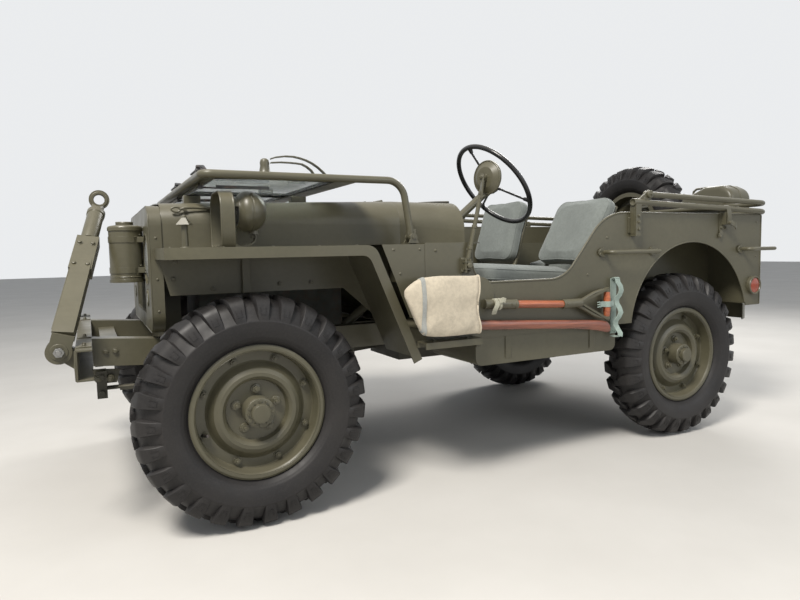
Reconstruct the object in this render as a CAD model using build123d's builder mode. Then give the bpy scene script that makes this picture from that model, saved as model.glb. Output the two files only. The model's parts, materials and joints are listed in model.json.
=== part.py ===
from build123d import *
from math import atan2, cos, pi, radians, sin
import os

# Open quarter-ton army 4x4 car, in millimetres.
# +X points forward, +Y to the left (driver's) side and +Z up.
# The origin is on the ground, under the middle of the whole vehicle.
# Heights below are measured from a level that lies axle_height under the axles,
# and every part is lifted from there as it is saved, so that the tyres stand on the ground.

os.makedirs("parts", exist_ok=True)

# Driving dimensions of the running gear
front_axle_x = 1092.0
wheelbase = 2032.0
track_width = 1245.0
tyre_radius = 388.0
tyre_width = 184.0
axle_height = 362.0
bead_radius = 203.0
rim_lip_radius = 224.0
rim_width = 124.0
kingpin_y = 540.0
axle_tube_radius = 34.0
drum_radius = 124.0
diff_y = -215.0
diff_radius = 104.0

# Running clearances
part_gap = 0.3
pin_gap = 0.05
moving_gap = 6.0

# Driving dimensions of the frame and bumper
rail_y = 340.0
rail_width = 62.0
rail_height = 92.0
rail_top = 586.0
bumper_front = 524.0
bumper_top = 608.0
bumper_depth = 46.0
bumper_height = 94.0
bumper_half_length = 641.0
bumper_wall = 5.0

# Driving dimensions of the body
sheet = 4.0
floor_top = rail_top + part_gap + sheet
body_half_width = 723.0
tub_top = 1026.0
sill_bottom = 544.0
tub_rear = 2548.0
cut_low = 754.0
crease_z = 908.0
hood_rear = 608.0
dash_rear = 848.0
fender_front = 274.0
fender_bend = 413.0
fender_tip = 590.0
fender_tip_z = 487.0
fender_top = 903.0
fender_lip = 36.0
grille_front = 290.0
grille_depth = 42.0
grille_half_width = 430.0
grille_low = 612.0

# Places along the car that follow from the values above
rear_axle_x = front_axle_x - wheelbase
wheel_z = axle_height
ground_lift = tyre_radius - axle_height
wheel_y = track_width / 2
rail_low = rail_top - rail_height
bumper_x = front_axle_x + bumper_front
body_rear_x = front_axle_x - tub_rear
hood_rear_x = front_axle_x - hood_rear
dash_x = front_axle_x - dash_rear
grille_x = front_axle_x + grille_front
hood_front_x = grille_x - grille_depth - part_gap
fender_inner_y = grille_half_width + part_gap


def save(part, label):
    """Lift one finished piece to stand on the ground, label it and write it as its own file."""
    lifted = part.moved(Location((0, 0, ground_lift)))
    lifted.label = label
    export_step(lifted, f"parts/{label}.step")


def side_plane(y):
    """Plane at one distance from the centreline, drawn in X and Z, facing right."""
    return Plane(origin=(0, y, 0), x_dir=(1, 0, 0), z_dir=(0, -1, 0))


def outward_plane(x, y, z):
    """Plane at one point, facing away from the centreline."""
    return Plane(origin=(x, y, z), x_dir=(1, 0, 0), z_dir=(0, 1 if y > 0 else -1, 0))


def between(start, end, x_dir=(1, 0, 0)):
    """Plane at one point whose normal looks at another point."""
    return Plane(origin=start, x_dir=x_dir, z_dir=Vector(*end) - Vector(*start))


# Tyres: side offset from the middle and radius of each corner of half the section
tyre_half = tyre_width / 2
tread_half = tyre_half - 23.0
tyre_section = [
    # side, radius
    (rim_width / 2 - 6, bead_radius + 4),
    (rim_width / 2 - 6, rim_lip_radius + 2),
    (tyre_half - 12, rim_lip_radius + 22),
    (tyre_half, rim_lip_radius + 64),
    (tyre_half - 1, tyre_radius - 82),
    (tyre_half - 8, tyre_radius - 42),
    (tread_half, tyre_radius - 15),
    (tread_half / 2, tyre_radius - 3),
    (12.0, tyre_radius),
]


def tyre(x, y, z, axis):
    """One tyre as a ring about its axle, out to the tips of its lugs."""
    place = Plane(origin=(x, y, z), x_dir=axis, z_dir=Vector(*axis).cross(Vector(0, 0, 1)))
    with BuildPart() as ring:
        with BuildSketch(place):
            with BuildLine():
                right = [(side, radius) for side, radius in tyre_section]
                left = [(-side, radius) for side, radius in reversed(tyre_section)]
                Polyline(right + left, close=True)
            make_face()
        revolve(axis=Axis((x, y, z), axis))
    return ring.part


# Wheel discs: offset outwards from the wheel's middle, and radius
disc_wall = 6.0
disc_side = 14.0
flange_side = 8.0
rim_outline = [
    # side, radius
    (-62, rim_lip_radius),
    (-62 + disc_wall, rim_lip_radius),
    (-62 + disc_wall, bead_radius + 3),
    (62 - disc_wall, bead_radius + 3),
    (62 - disc_wall, rim_lip_radius),
    (62, rim_lip_radius),
    (66, rim_lip_radius - 7),
    (66, rim_lip_radius - 16),
    (58, bead_radius - 1),
    (flange_side + 6, 199),
    (flange_side, 196),
    (flange_side, 166),
    (12, 160),
    (34, 142),
    (42, 128),
    (42, 116),
    (34, 106),
    (disc_side, 100),
    (disc_side, 30),
    (disc_side - disc_wall, 30),
    (disc_side - disc_wall, 104),
    (29, 109),
    (36, 118),
    (36, 127),
    (29, 139),
    (7, 156),
    (flange_side - disc_wall, 163),
    (flange_side - disc_wall, 194),
    (-62, 198),
]
clamp_bolt_circle = 180.0
hub_radius = 50.0
hub_nose_radius = 32.0
hub_reach = 88.0
spindle_radius = 20.0
spindle_reach = 39.0
nut_circle = 69.85
nut_radius = 13.0
drum_inner_side = -46.0


def rim(x, y, z, axis, has_hub=True):
    """One steel wheel with its hub and brake drum, facing along axis."""
    outward = Vector(*axis)
    place = Plane(origin=(x, y, z), x_dir=outward, z_dir=outward.cross(Vector(0, 0, 1)))
    face = Plane(origin=(x, y, z), x_dir=(0, 0, 1), z_dir=outward)
    with BuildPart() as wheel:
        with BuildSketch(place):
            with BuildLine():
                Polyline(rim_outline, close=True)
            make_face()
        revolve(axis=Axis((x, y, z), axis))
        with BuildSketch(face.offset(disc_side - 1)):
            with PolarLocations(nut_circle, 5):
                RegularPolygon(nut_radius, 6)
        extrude(amount=16)
        with BuildSketch(face.offset(flange_side - 1)):
            with PolarLocations(clamp_bolt_circle, 8, 22.5):
                RegularPolygon(11, 6)
        extrude(amount=13)
        if has_hub:
            with BuildSketch(face.offset(drum_inner_side)):
                Circle(drum_radius)
            extrude(amount=disc_side - disc_wall - drum_inner_side)
            with BuildSketch(face.offset(drum_inner_side)):
                Circle(drum_radius - 8)
            extrude(amount=50, mode=Mode.SUBTRACT)
            with BuildSketch(face):
                Circle(hub_radius)
            extrude(amount=hub_reach - 20)
            with BuildSketch(face):
                Circle(hub_nose_radius)
            extrude(amount=hub_reach)
            with BuildSketch(face.offset(hub_reach - 22)):
                with PolarLocations(hub_radius - 10, 6):
                    RegularPolygon(7, 6)
            extrude(amount=8)
            with BuildSketch(face.offset(-1)):
                Circle(spindle_radius + pin_gap)
            extrude(amount=spindle_reach + 2, mode=Mode.SUBTRACT)
    return wheel.part


wheel_table = [
    # name, x, y
    ("front_left", front_axle_x, wheel_y),
    ("front_right", front_axle_x, -wheel_y),
    ("rear_left", rear_axle_x, wheel_y),
    ("rear_right", rear_axle_x, -wheel_y),
]
for name, x, y in wheel_table:
    outward = (0, 1 if y > 0 else -1, 0)
    save(tyre(x, y, wheel_z, outward), f"tyre_{name}")
    save(rim(x, y, wheel_z, outward), f"rim_{name}")

# Spare wheel, face to the rear, right of the middle
spare_x = body_rear_x - 152.0
spare_y = -212.0
spare_z = 1001.0
save(tyre(spare_x, spare_y, spare_z, (-1, 0, 0)), "tyre_spare")
save(rim(spare_x, spare_y, spare_z, (-1, 0, 0), has_hub=False), "rim_spare")

# Ladder frame: two rails and the members across them
member_table = [
    # place behind the front axle, depth along the car
    (-420, 60),
    (-201, 60),
    (1140, 70),
    (1720, 60),
    (2480, 60),
]
member_inset = 12.0
rail_front_x = bumper_x - bumper_depth - part_gap
rail_rear_x = body_rear_x + 30
with BuildPart() as frame:
    with BuildSketch(side_plane(rail_y + rail_width / 2)):
        with BuildLine():
            Polyline(
                (rail_front_x, bumper_top),
                (rail_front_x, bumper_top - bumper_height),
                (front_axle_x + 180, rail_low),
                (rail_rear_x, rail_low),
                (rail_rear_x, rail_top),
                (front_axle_x + 180, rail_top),
                close=True,
            )
        make_face()
    extrude(amount=rail_width)
    mirror(about=Plane.XZ)
    for behind, depth in member_table:
        with BuildSketch(Plane.XY.offset(rail_low + member_inset)):
            with Locations((front_axle_x - behind, 0)):
                Rectangle(depth, 2 * rail_y - rail_width)
        extrude(amount=rail_height - 2 * member_inset)
save(frame.part, "frame")

# Front bumper: a channel, open to the rear
with BuildPart() as bumper:
    with BuildSketch(side_plane(bumper_half_length)):
        with BuildLine():
            Polyline(
                (bumper_x, bumper_top),
                (bumper_x - bumper_depth, bumper_top),
                (bumper_x - bumper_depth, bumper_top - bumper_wall),
                (bumper_x - bumper_wall, bumper_top - bumper_wall),
                (bumper_x - bumper_wall, bumper_top - bumper_height + bumper_wall),
                (bumper_x - bumper_depth, bumper_top - bumper_height + bumper_wall),
                (bumper_x - bumper_depth, bumper_top - bumper_height),
                (bumper_x, bumper_top - bumper_height),
                close=True,
            )
        make_face()
    extrude(amount=2 * bumper_half_length)

# Tow bar hinges stand out of the bumper's front face
tow_hinge_y = 540.0
tow_pin_x = bumper_x + 44.0
tow_pin_z = 597.0
tow_pin_radius = 10.0
tow_boss_radius = 37.0
tow_fork_gap = 30.0
cheek_wall = 9.0
lug_radius = 26.0
with BuildPart() as tow_lugs:
    for side in (1, -1):
        with BuildSketch(side_plane(side * tow_hinge_y + tow_fork_gap / 2)):
            with BuildLine():
                Polyline(
                    (bumper_x, tow_pin_z + 8),
                    (bumper_x, tow_pin_z - 60),
                    (tow_pin_x, tow_pin_z - lug_radius),
                    (tow_pin_x, tow_pin_z + lug_radius),
                    close=True,
                )
            make_face()
            with Locations((tow_pin_x, tow_pin_z)):
                Circle(lug_radius)
        extrude(amount=tow_fork_gap)
        pin_length = tow_fork_gap + 2 * cheek_wall + 16
        with BuildSketch(side_plane(side * tow_hinge_y + pin_length / 2)):
            with Locations((tow_pin_x, tow_pin_z)):
                Circle(tow_pin_radius)
        extrude(amount=pin_length)
with BuildPart() as front_bumper:
    add(bumper.part)
    add(tow_lugs.part)
save(front_bumper.part, "front_bumper")

# Tow bar: two channel arms from the hinges, then pipes that meet at the eye
tow_top = (front_axle_x + 424.0, 0.0, 1092.0)
tow_eye_radius = 36.0
tow_eye_hole = 19.0
tow_eye_width = 28.0
eye_clear_ring = 9.0
tow_pipe_radius = 22.0
tow_arm_depth = 60.0
tow_arm_width = 40.0
tow_joint_share = 0.62
fork_gap_side = 0.5
bridge_low = lug_radius + moving_gap
with BuildPart() as tow_bar:
    for side in (1, -1):
        foot = Vector(tow_pin_x, side * tow_hinge_y, tow_pin_z)
        top = Vector(*tow_top)
        lean = Vector(top.X - foot.X, 0, top.Z - foot.Z).normalized()
        fork_width = tow_fork_gap + 2 * (fork_gap_side + cheek_wall)
        upright = Plane(origin=foot, x_dir=(lean.Z, 0, -lean.X), z_dir=lean)
        with BuildSketch(side_plane(side * tow_hinge_y + fork_width / 2)):
            with Locations((tow_pin_x, tow_pin_z)):
                Circle(tow_boss_radius)
        extrude(amount=fork_width)
        with BuildSketch(upright):
            Rectangle(2 * tow_boss_radius - 12, fork_width)
        extrude(amount=bridge_low + 22)
        with BuildSketch(upright.offset(-tow_boss_radius - 1)):
            Rectangle(4 * tow_boss_radius, tow_fork_gap + 2 * fork_gap_side)
        extrude(amount=tow_boss_radius + 1 + bridge_low, mode=Mode.SUBTRACT)
        arm_foot = foot + lean * (bridge_low + 14)
        joint = foot + (top - foot) * tow_joint_share
        with BuildSketch(between(arm_foot, tuple(joint))):
            Rectangle(tow_arm_depth, tow_arm_width)
        extrude(amount=(joint - arm_foot).length)
        pipe_foot = foot + (top - foot) * (tow_joint_share - 0.05)
        with BuildSketch(between(pipe_foot, tow_top)):
            Circle(tow_pipe_radius)
        extrude(amount=(top - pipe_foot).length)
        with BuildSketch(side_plane(side * tow_hinge_y + fork_width)):
            with Locations((tow_pin_x, tow_pin_z)):
                Circle(tow_pin_radius + pin_gap)
        extrude(amount=2 * fork_width, mode=Mode.SUBTRACT)
    eye_z = tow_top[2] + 8
    for side in (1, -1):
        with BuildSketch(side_plane(side * tow_eye_width / 2)):
            with Locations((tow_top[0], eye_z)):
                Circle(tow_eye_hole + eye_clear_ring)
        extrude(amount=-side * 60, mode=Mode.SUBTRACT)
    with BuildSketch(side_plane(tow_eye_width / 2)):
        with Locations((tow_top[0], eye_z)):
            Circle(tow_eye_radius)
            Circle(tow_eye_hole, mode=Mode.SUBTRACT)
    extrude(amount=tow_eye_width)
    with BuildSketch(side_plane(tow_eye_width)):
        with Locations((tow_top[0], eye_z)):
            Circle(tow_eye_hole)
    extrude(amount=2 * tow_eye_width, mode=Mode.SUBTRACT)
save(tow_bar.part, "tow_bar")

# Leaf springs over the axles: half length and step down of each leaf
spring_width = 44.0
spring_top = wheel_z + 72.0
leaf_thickness = 6.0
eye_radius = 15.0
leaf_half_lengths = [455, 400, 330, 260, 190, 120]
shackle_pin_z = 455.0
with BuildPart() as springs:
    for axle_x in (front_axle_x, rear_axle_x):
        for side in (1, -1):
            for count, half_length in enumerate(leaf_half_lengths):
                with BuildSketch(Plane.XY.offset(spring_top - (count + 1) * leaf_thickness)):
                    with Locations((axle_x, side * rail_y)):
                        Rectangle(2 * half_length, spring_width)
                extrude(amount=leaf_thickness)
            pad_low = wheel_z + axle_tube_radius + part_gap
            with BuildSketch(Plane.XY.offset(pad_low)):
                with Locations((axle_x, side * rail_y)):
                    Rectangle(110, 64)
            extrude(amount=spring_top + 10 - pad_low)
            for end in (1, -1):
                eye_x = axle_x + end * leaf_half_lengths[0]
                eye_z = spring_top - leaf_thickness / 2 - eye_radius + 3
                with BuildSketch(side_plane(side * rail_y + spring_width / 2)):
                    with Locations((eye_x, eye_z)):
                        Circle(eye_radius)
                extrude(amount=spring_width)
                plate_y = side * rail_y + spring_width / 2 + 8
                for y in (plate_y, plate_y - spring_width - 8):
                    with BuildSketch(side_plane(y)):
                        with BuildLine():
                            Polyline(
                                (eye_x - 16, eye_z - 18),
                                (eye_x + 16, eye_z - 18),
                                (eye_x + 16, rail_low),
                                (eye_x - 16, rail_low),
                                close=True,
                            )
                        make_face()
                    extrude(amount=8)
save(springs.part, "springs")

# Axles: tube, round housing off the middle with its nose, and the end balls or plates
ball_radius = 60.0
kingpin_radius = 12.0
kingpin_reach = 86.0
plate_wall = 4.0
plate_gap = 2.0
plate_side = wheel_y + drum_inner_side - plate_wall - plate_gap
spindle_end = wheel_y + spindle_reach
nose_length = 190.0


def axle_housing(x, nose, half_length):
    """Axle tube and gear housing, the nose pointing to the middle of the car."""
    with BuildPart() as housing:
        with BuildSketch(side_plane(half_length)):
            with Locations((x, wheel_z)):
                Circle(axle_tube_radius)
        extrude(amount=2 * half_length)
        with BuildSketch(side_plane(diff_y + 62)):
            with Locations((x, wheel_z)):
                Circle(diff_radius)
        extrude(amount=124)
        with BuildSketch(Plane(origin=(x, diff_y, wheel_z), x_dir=(0, 1, 0), z_dir=(nose, 0, 0))):
            Circle(46)
        extrude(amount=nose_length)
    return housing.part


with BuildPart() as front_axle:
    add(axle_housing(front_axle_x, -1, kingpin_y - 20))
    for side in (1, -1):
        with Locations((front_axle_x, side * kingpin_y, wheel_z)):
            Sphere(ball_radius)
            Cylinder(kingpin_radius, 2 * kingpin_reach)
save(front_axle.part, "front_axle")

with BuildPart() as rear_axle:
    add(axle_housing(rear_axle_x, 1, plate_side))
    for side in (1, -1):
        with BuildSketch(outward_plane(rear_axle_x, side * plate_side, wheel_z)):
            Circle(drum_radius + 4)
        extrude(amount=plate_wall)
        with BuildSketch(outward_plane(rear_axle_x, side * plate_side, wheel_z)):
            Circle(spindle_radius)
        extrude(amount=spindle_end - plate_side)
save(rear_axle.part, "rear_axle")

# Steering knuckles: a cup around each axle ball, its pins, brake plate and arm
knuckle_gap = 2.0
cup_radius = 74.0
cup_end_y = kingpin_y + ball_radius + knuckle_gap + 2
arm_reach = 165.0
arm_z = wheel_z - 62.0
rod_radius = 13.0
rod_end_radius = 20.0
rod_end_height = 28.0
rod_pin_radius = 8.0
for name, side in (("left", 1), ("right", -1)):
    pin_y = side * kingpin_y
    with BuildPart() as knuckle:
        with Locations((front_axle_x, pin_y, wheel_z)):
            Sphere(cup_radius)
        with BuildSketch(Plane.XY.offset(wheel_z - cup_radius - 16)):
            with Locations((front_axle_x, pin_y)):
                Circle(26)
        extrude(amount=2 * (cup_radius + 16))
        with Locations((front_axle_x, pin_y, wheel_z)):
            Sphere(ball_radius + knuckle_gap, mode=Mode.SUBTRACT)
        with BuildSketch(Plane.XY.offset(wheel_z - 2 * cup_radius)):
            with Locations((front_axle_x, pin_y - side * (cup_radius + 18))):
                Rectangle(4 * cup_radius, 2 * cup_radius)
        extrude(amount=4 * cup_radius, mode=Mode.SUBTRACT)
        with BuildSketch(outward_plane(front_axle_x, side * plate_side, wheel_z)):
            Circle(drum_radius + 4)
            Circle(46, mode=Mode.SUBTRACT)
        extrude(amount=plate_wall)
        with BuildSketch(outward_plane(front_axle_x, side * cup_end_y, wheel_z)):
            Circle(spindle_radius)
        extrude(amount=spindle_end - cup_end_y)
        with BuildSketch(Plane.XY.offset(arm_z - 9)):
            with BuildLine():
                Polyline(
                    (front_axle_x, pin_y - 14),
                    (front_axle_x, pin_y + 14),
                    (front_axle_x + arm_reach, pin_y + 14),
                    (front_axle_x + arm_reach, pin_y - 14),
                    close=True,
                )
            make_face()
            with Locations((front_axle_x + arm_reach, pin_y)):
                Circle(rod_end_radius)
        extrude(amount=18)
        with BuildSketch(Plane.XY.offset(arm_z)):
            with Locations((front_axle_x + arm_reach, pin_y)):
                Circle(rod_pin_radius)
        extrude(amount=9 + part_gap + rod_end_height + 5)
        with Locations((front_axle_x, pin_y, wheel_z)):
            Sphere(ball_radius + knuckle_gap, mode=Mode.SUBTRACT)
            Cylinder(kingpin_radius + pin_gap, 4 * cup_radius, mode=Mode.SUBTRACT)
    save(knuckle.part, f"knuckle_{name}")

# Tie rod between the two steering arms, in front of the axle
rod_x = front_axle_x + arm_reach
rod_low = arm_z + 9 + part_gap
with BuildPart() as tie_rod:
    with BuildSketch(side_plane(kingpin_y)):
        with Locations((rod_x, rod_low + rod_end_height / 2)):
            Circle(rod_radius)
    extrude(amount=2 * kingpin_y)
    with BuildSketch(Plane.XY.offset(rod_low)):
        with Locations((rod_x, kingpin_y), (rod_x, -kingpin_y)):
            Circle(rod_end_radius)
    extrude(amount=rod_end_height)
    with BuildSketch(Plane.XY.offset(rod_low - 1)):
        with Locations((rod_x, kingpin_y), (rod_x, -kingpin_y)):
            Circle(rod_pin_radius + pin_gap)
    extrude(amount=rod_end_height + 2, mode=Mode.SUBTRACT)
save(tie_rod.part, "tie_rod")

# Engine as one plain block, and the radiator ahead of it
engine_front = 96.0
engine_rear = 500.0
engine_half_width = 165.0
engine_low = 470.0
engine_top = 985.0
with BuildPart() as engine:
    with BuildSketch(Plane.XY.offset(engine_low)):
        with Locations((front_axle_x + (engine_front - engine_rear) / 2, 0)):
            Rectangle(engine_front + engine_rear, 2 * engine_half_width)
    extrude(amount=engine_top - engine_low)
save(engine.part, "engine_block")

radiator_front = 232.0
radiator_depth = 62.0
radiator_width = 420.0
radiator_height = 430.0
with BuildPart() as radiator:
    with BuildSketch(Plane.XY.offset(rail_top - member_inset + part_gap)):
        with Locations((front_axle_x + radiator_front - radiator_depth / 2, 0)):
            Rectangle(radiator_depth, radiator_width)
    extrude(amount=radiator_height)
save(radiator.part, "radiator")

# Gearbox and transfer box under the floor, with the shafts to both axles
gearbox_rear = 1080.0
shaft_radius = 25.0
joint_radius = 36.0
joint_length = 40.0
with BuildPart() as driveline:
    with BuildSketch(Plane.XY.offset(engine_low)):
        with Locations((front_axle_x - (engine_rear + part_gap + gearbox_rear) / 2, 0)):
            Rectangle(gearbox_rear - engine_rear - part_gap, 230)
    extrude(amount=floor_top - sheet - 20 - engine_low)
    with BuildSketch(Plane.XY.offset(engine_low - 110)):
        with Locations((front_axle_x - gearbox_rear + 130, diff_y / 2)):
            Rectangle(240, 330)
    extrude(amount=170)
    shaft_ends = [
        # axle nose, transfer box face
        ((front_axle_x - nose_length - joint_length, diff_y, wheel_z),
         (front_axle_x - gearbox_rear + 240, diff_y, 410)),
        ((rear_axle_x + nose_length + joint_length, diff_y, wheel_z),
         (front_axle_x - gearbox_rear + 20, diff_y, 410)),
    ]
    for nose, box_face in shaft_ends:
        with BuildSketch(between(nose, box_face, (0, 1, 0))):
            Circle(shaft_radius)
        extrude(amount=(Vector(*box_face) - Vector(*nose)).length)
        ahead = 1 if box_face[0] > nose[0] else -1
        with BuildSketch(Plane(origin=nose, x_dir=(0, 1, 0), z_dir=(ahead, 0, 0))):
            Circle(joint_radius)
        extrude(amount=-joint_length + part_gap)
save(driveline.part, "driveline")

# Exhaust: pipe along the right rail and a silencer across its end
pipe_radius = 20.0
with BuildPart() as exhaust:
    with BuildSketch(Plane(origin=(front_axle_x - 640, -440, 520), x_dir=(0, 1, 0), z_dir=(-1, 0, 0))):
        Circle(pipe_radius)
    extrude(amount=310)
    with BuildSketch(Plane(origin=(front_axle_x - 940, -460, 500), x_dir=(0, 1, 0), z_dir=(-1, 0, 0))):
        Ellipse(76, 54)
    extrude(amount=430)
    with BuildSketch(Plane(origin=(front_axle_x - 1370, -440, 520), x_dir=(0, 1, 0), z_dir=(-1, 0, 0))):
        Circle(pipe_radius)
    extrude(amount=160)
    for behind in (700, 1150, 1500):
        with BuildSketch(side_plane(-rail_y - rail_width / 2 - part_gap)):
            with Locations((front_axle_x - behind, 530)):
                Rectangle(30, 22)
        extrude(amount=440 - rail_y - rail_width / 2 - part_gap)
save(exhaust.part, "exhaust")

# Front fenders: flat top, rounded bend and sloping rear, with a lip all along
fender_front_x = front_axle_x + fender_front
fender_bend_x = front_axle_x - fender_bend
fender_tip_x = front_axle_x - fender_tip
bend_radius = 50.0


def fender_path(drop):
    """Side line of the fender, drop below its outer surface."""
    turn = atan2(fender_top - fender_tip_z, fender_bend_x - fender_tip_x)
    inner_corner = (fender_bend_x + drop * sin(turn) / (1 + cos(turn)), fender_top - drop)
    tip = (fender_tip_x + drop * sin(turn), fender_tip_z - drop * cos(turn))
    return [(fender_front_x, fender_top - drop), inner_corner, tip]


def fender_strip(thickness):
    """Closed side outline of a strip of the fender as thick as given."""
    outer = fender_path(0)
    inner = fender_path(thickness)
    with BuildLine() as edge:
        FilletPolyline(*outer, radius=bend_radius)
        FilletPolyline(*inner, radius=bend_radius - thickness / 3)
        Line(outer[0], inner[0])
        Line(outer[-1], inner[-1])
    return edge.line


for name, side in (("left", 1), ("right", -1)):
    with BuildPart() as fender:
        with BuildSketch(side_plane(side * body_half_width)):
            add(fender_strip(sheet))
            make_face()
        extrude(amount=side * (body_half_width - fender_inner_y))
        with BuildSketch(side_plane(side * body_half_width)):
            add(fender_strip(fender_lip))
            make_face()
        extrude(amount=side * sheet)
        with BuildSketch(Plane.YZ.offset(fender_front_x)):
            with Locations((side * (body_half_width + fender_inner_y) / 2, fender_top - fender_lip / 2)):
                Rectangle(body_half_width - fender_inner_y, fender_lip)
        extrude(amount=-sheet)
        with BuildSketch(side_plane(side * fender_inner_y)):
            with BuildLine():
                Polyline(
                    (fender_front_x - sheet, fender_top),
                    (fender_front_x - 44, 742),
                    (fender_bend_x + 10, 742),
                    (fender_tip_x + 30, rail_top + 20),
                    (hood_rear_x + 8, rail_top + 20),
                    (hood_rear_x + 8, fender_top),
                    close=True,
                )
            make_face()
        extrude(amount=-side * sheet)
    save(fender.part, f"fender_{name}")


def crown(x, section, low, inset=0.0):
    """Cross-section of hood or cowl: upright sides, round shoulders and a crowned top."""
    half_width, shoulder, top, radius = section
    half_width -= inset
    shoulder -= inset
    top -= inset
    radius -= inset
    corner_y = half_width - radius
    foot_z = shoulder - radius
    bulge = radius * cos(pi / 4)
    with BuildSketch(Plane.YZ.offset(x)) as outline:
        with BuildLine():
            Line((-half_width, low), (-half_width, foot_z))
            ThreePointArc((-half_width, foot_z), (-corner_y - bulge, foot_z + bulge), (-corner_y, shoulder))
            ThreePointArc((-corner_y, shoulder), (0, top), (corner_y, shoulder))
            ThreePointArc((corner_y, shoulder), (corner_y + bulge, foot_z + bulge), (half_width, foot_z))
            Line((half_width, foot_z), (half_width, low))
            Line((half_width, low), (-half_width, low))
        make_face()
    return outline.sketch


def blend(first, second, share):
    """Section a given share of the way from the first to the second."""
    return tuple(a + (b - a) * share for a, b in zip(first, second))


# Crowned sections: half width, shoulder height, top height and shoulder radius
hood_front_section = (425.0, 1062.0, 1076.0, 74.0)
hood_rear_section = (530.0, 1078.0, 1096.0, 96.0)
screen_y = body_half_width - 83.0
screen_tube_radius = 13.0
dash_half_width = screen_y - screen_tube_radius - 10
dash_section = (dash_half_width, 1070.0, 1096.0, 116.0)
hood_low = fender_top + 3.0

with BuildPart() as hood:
    hood_end_x = hood_rear_x + part_gap
    for x, section in ((hood_front_x, hood_front_section), (hood_end_x, hood_rear_section)):
        add(crown(x, section, hood_low))
    loft()
    for x, section in ((hood_front_x, hood_front_section), (hood_end_x, hood_rear_section)):
        add(crown(x, section, hood_low, sheet))
    loft(mode=Mode.SUBTRACT)
save(hood.part, "hood")

# Windscreen pivots, on the ledge beside the cowl
screen_pin_x = front_axle_x - 597.0
screen_pin_z = 929.0
screen_pin_radius = 6.0
pivot_boss_radius = 15.0

# Cowl: crowned sheet closed by firewall and dash panel, its ledges and the toe board
cowl_depth = hood_rear_x - dash_x
toe_top = 762.0
toe_foot_x = front_axle_x - 800.0
column_y = 290.0
column_radius = 18.0
column_rake = 38.3
column_top = Vector(front_axle_x - 1222.0, column_y, 1177.0)
column_along = Vector(cos(radians(column_rake)), 0, -sin(radians(column_rake)))
column_hole = 22.0
inner_half_width = body_half_width - sheet - part_gap
with BuildPart() as cowl:
    for x, section in ((hood_rear_x, hood_rear_section), (dash_x, dash_section)):
        add(crown(x, section, crease_z))
    loft()
    for x, share in ((hood_rear_x - sheet, sheet / cowl_depth), (dash_x + sheet, 1 - sheet / cowl_depth)):
        add(crown(x, blend(hood_rear_section, dash_section, share), crease_z - 1, sheet))
    loft(mode=Mode.SUBTRACT)
    with BuildSketch(Plane.XY.offset(crease_z - sheet)):
        with BuildLine():
            front_half = hood_rear_section[0] - sheet
            rear_half = dash_section[0] - sheet
            Polyline(
                (hood_rear_x, inner_half_width),
                (dash_x, inner_half_width),
                (dash_x, rear_half),
                (hood_rear_x - sheet, front_half),
                (hood_rear_x - sheet, -front_half),
                (dash_x, -rear_half),
                (dash_x, -inner_half_width),
                (hood_rear_x, -inner_half_width),
                close=True,
            )
        make_face()
    extrude(amount=sheet)
    with BuildSketch(Plane.YZ.offset(hood_rear_x)):
        with Locations((0, (toe_top + crease_z) / 2)):
            Rectangle(2 * inner_half_width, crease_z - toe_top)
    extrude(amount=-sheet)
    with BuildSketch(side_plane(inner_half_width)):
        with BuildLine():
            Polyline(
                (hood_rear_x, toe_top + sheet),
                (hood_rear_x, toe_top - sheet),
                (toe_foot_x + 2 * sheet, floor_top),
                (toe_foot_x - sheet, floor_top),
                (hood_rear_x - sheet, toe_top + sheet),
                close=True,
            )
        make_face()
    extrude(amount=2 * inner_half_width)
    with BuildSketch(Plane(origin=column_top, x_dir=(0, 1, 0), z_dir=column_along)):
        Circle(column_hole)
    extrude(amount=1000, mode=Mode.SUBTRACT)
    for side in (1, -1):
        for edge in (pivot_boss_radius + 1, -pivot_boss_radius - 7):
            with BuildSketch(side_plane(side * screen_y + edge + 6)):
                with BuildLine():
                    Polyline(
                        (screen_pin_x - 22, crease_z),
                        (screen_pin_x - 8, screen_pin_z + 6),
                        (screen_pin_x + 8, screen_pin_z + 6),
                        (screen_pin_x + 22, crease_z),
                        close=True,
                    )
                make_face()
                with Locations((screen_pin_x, screen_pin_z)):
                    Circle(pivot_boss_radius)
            extrude(amount=6)
        with BuildSketch(side_plane(side * screen_y + pivot_boss_radius + 10)):
            with Locations((screen_pin_x, screen_pin_z)):
                Circle(screen_pin_radius)
        extrude(amount=2 * pivot_boss_radius + 20)
save(cowl.part, "cowl")

# Windscreen frame, folded flat over the hood
screen_z = 1136.0
screen_top_x = front_axle_x + 142.0
screen_low_x = front_axle_x - 415.0
screen_bend = 70.0
screen_corner = 30.0
pane_thickness = 6.0
border = 34.0
sill_panel = 104.0
divider = 30.0
inner_frame_thickness = 18.0
pane_half_width = screen_y - screen_tube_radius - border
pane_low_x = screen_low_x + sill_panel
pane_top_x = screen_top_x - screen_tube_radius - border


def pane_places(side):
    """Middle and size of one pane's opening."""
    width = pane_half_width - divider / 2
    middle = ((pane_low_x + pane_top_x) / 2, side * (divider / 2 + width / 2))
    return middle, (pane_top_x - pane_low_x, width)


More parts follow.
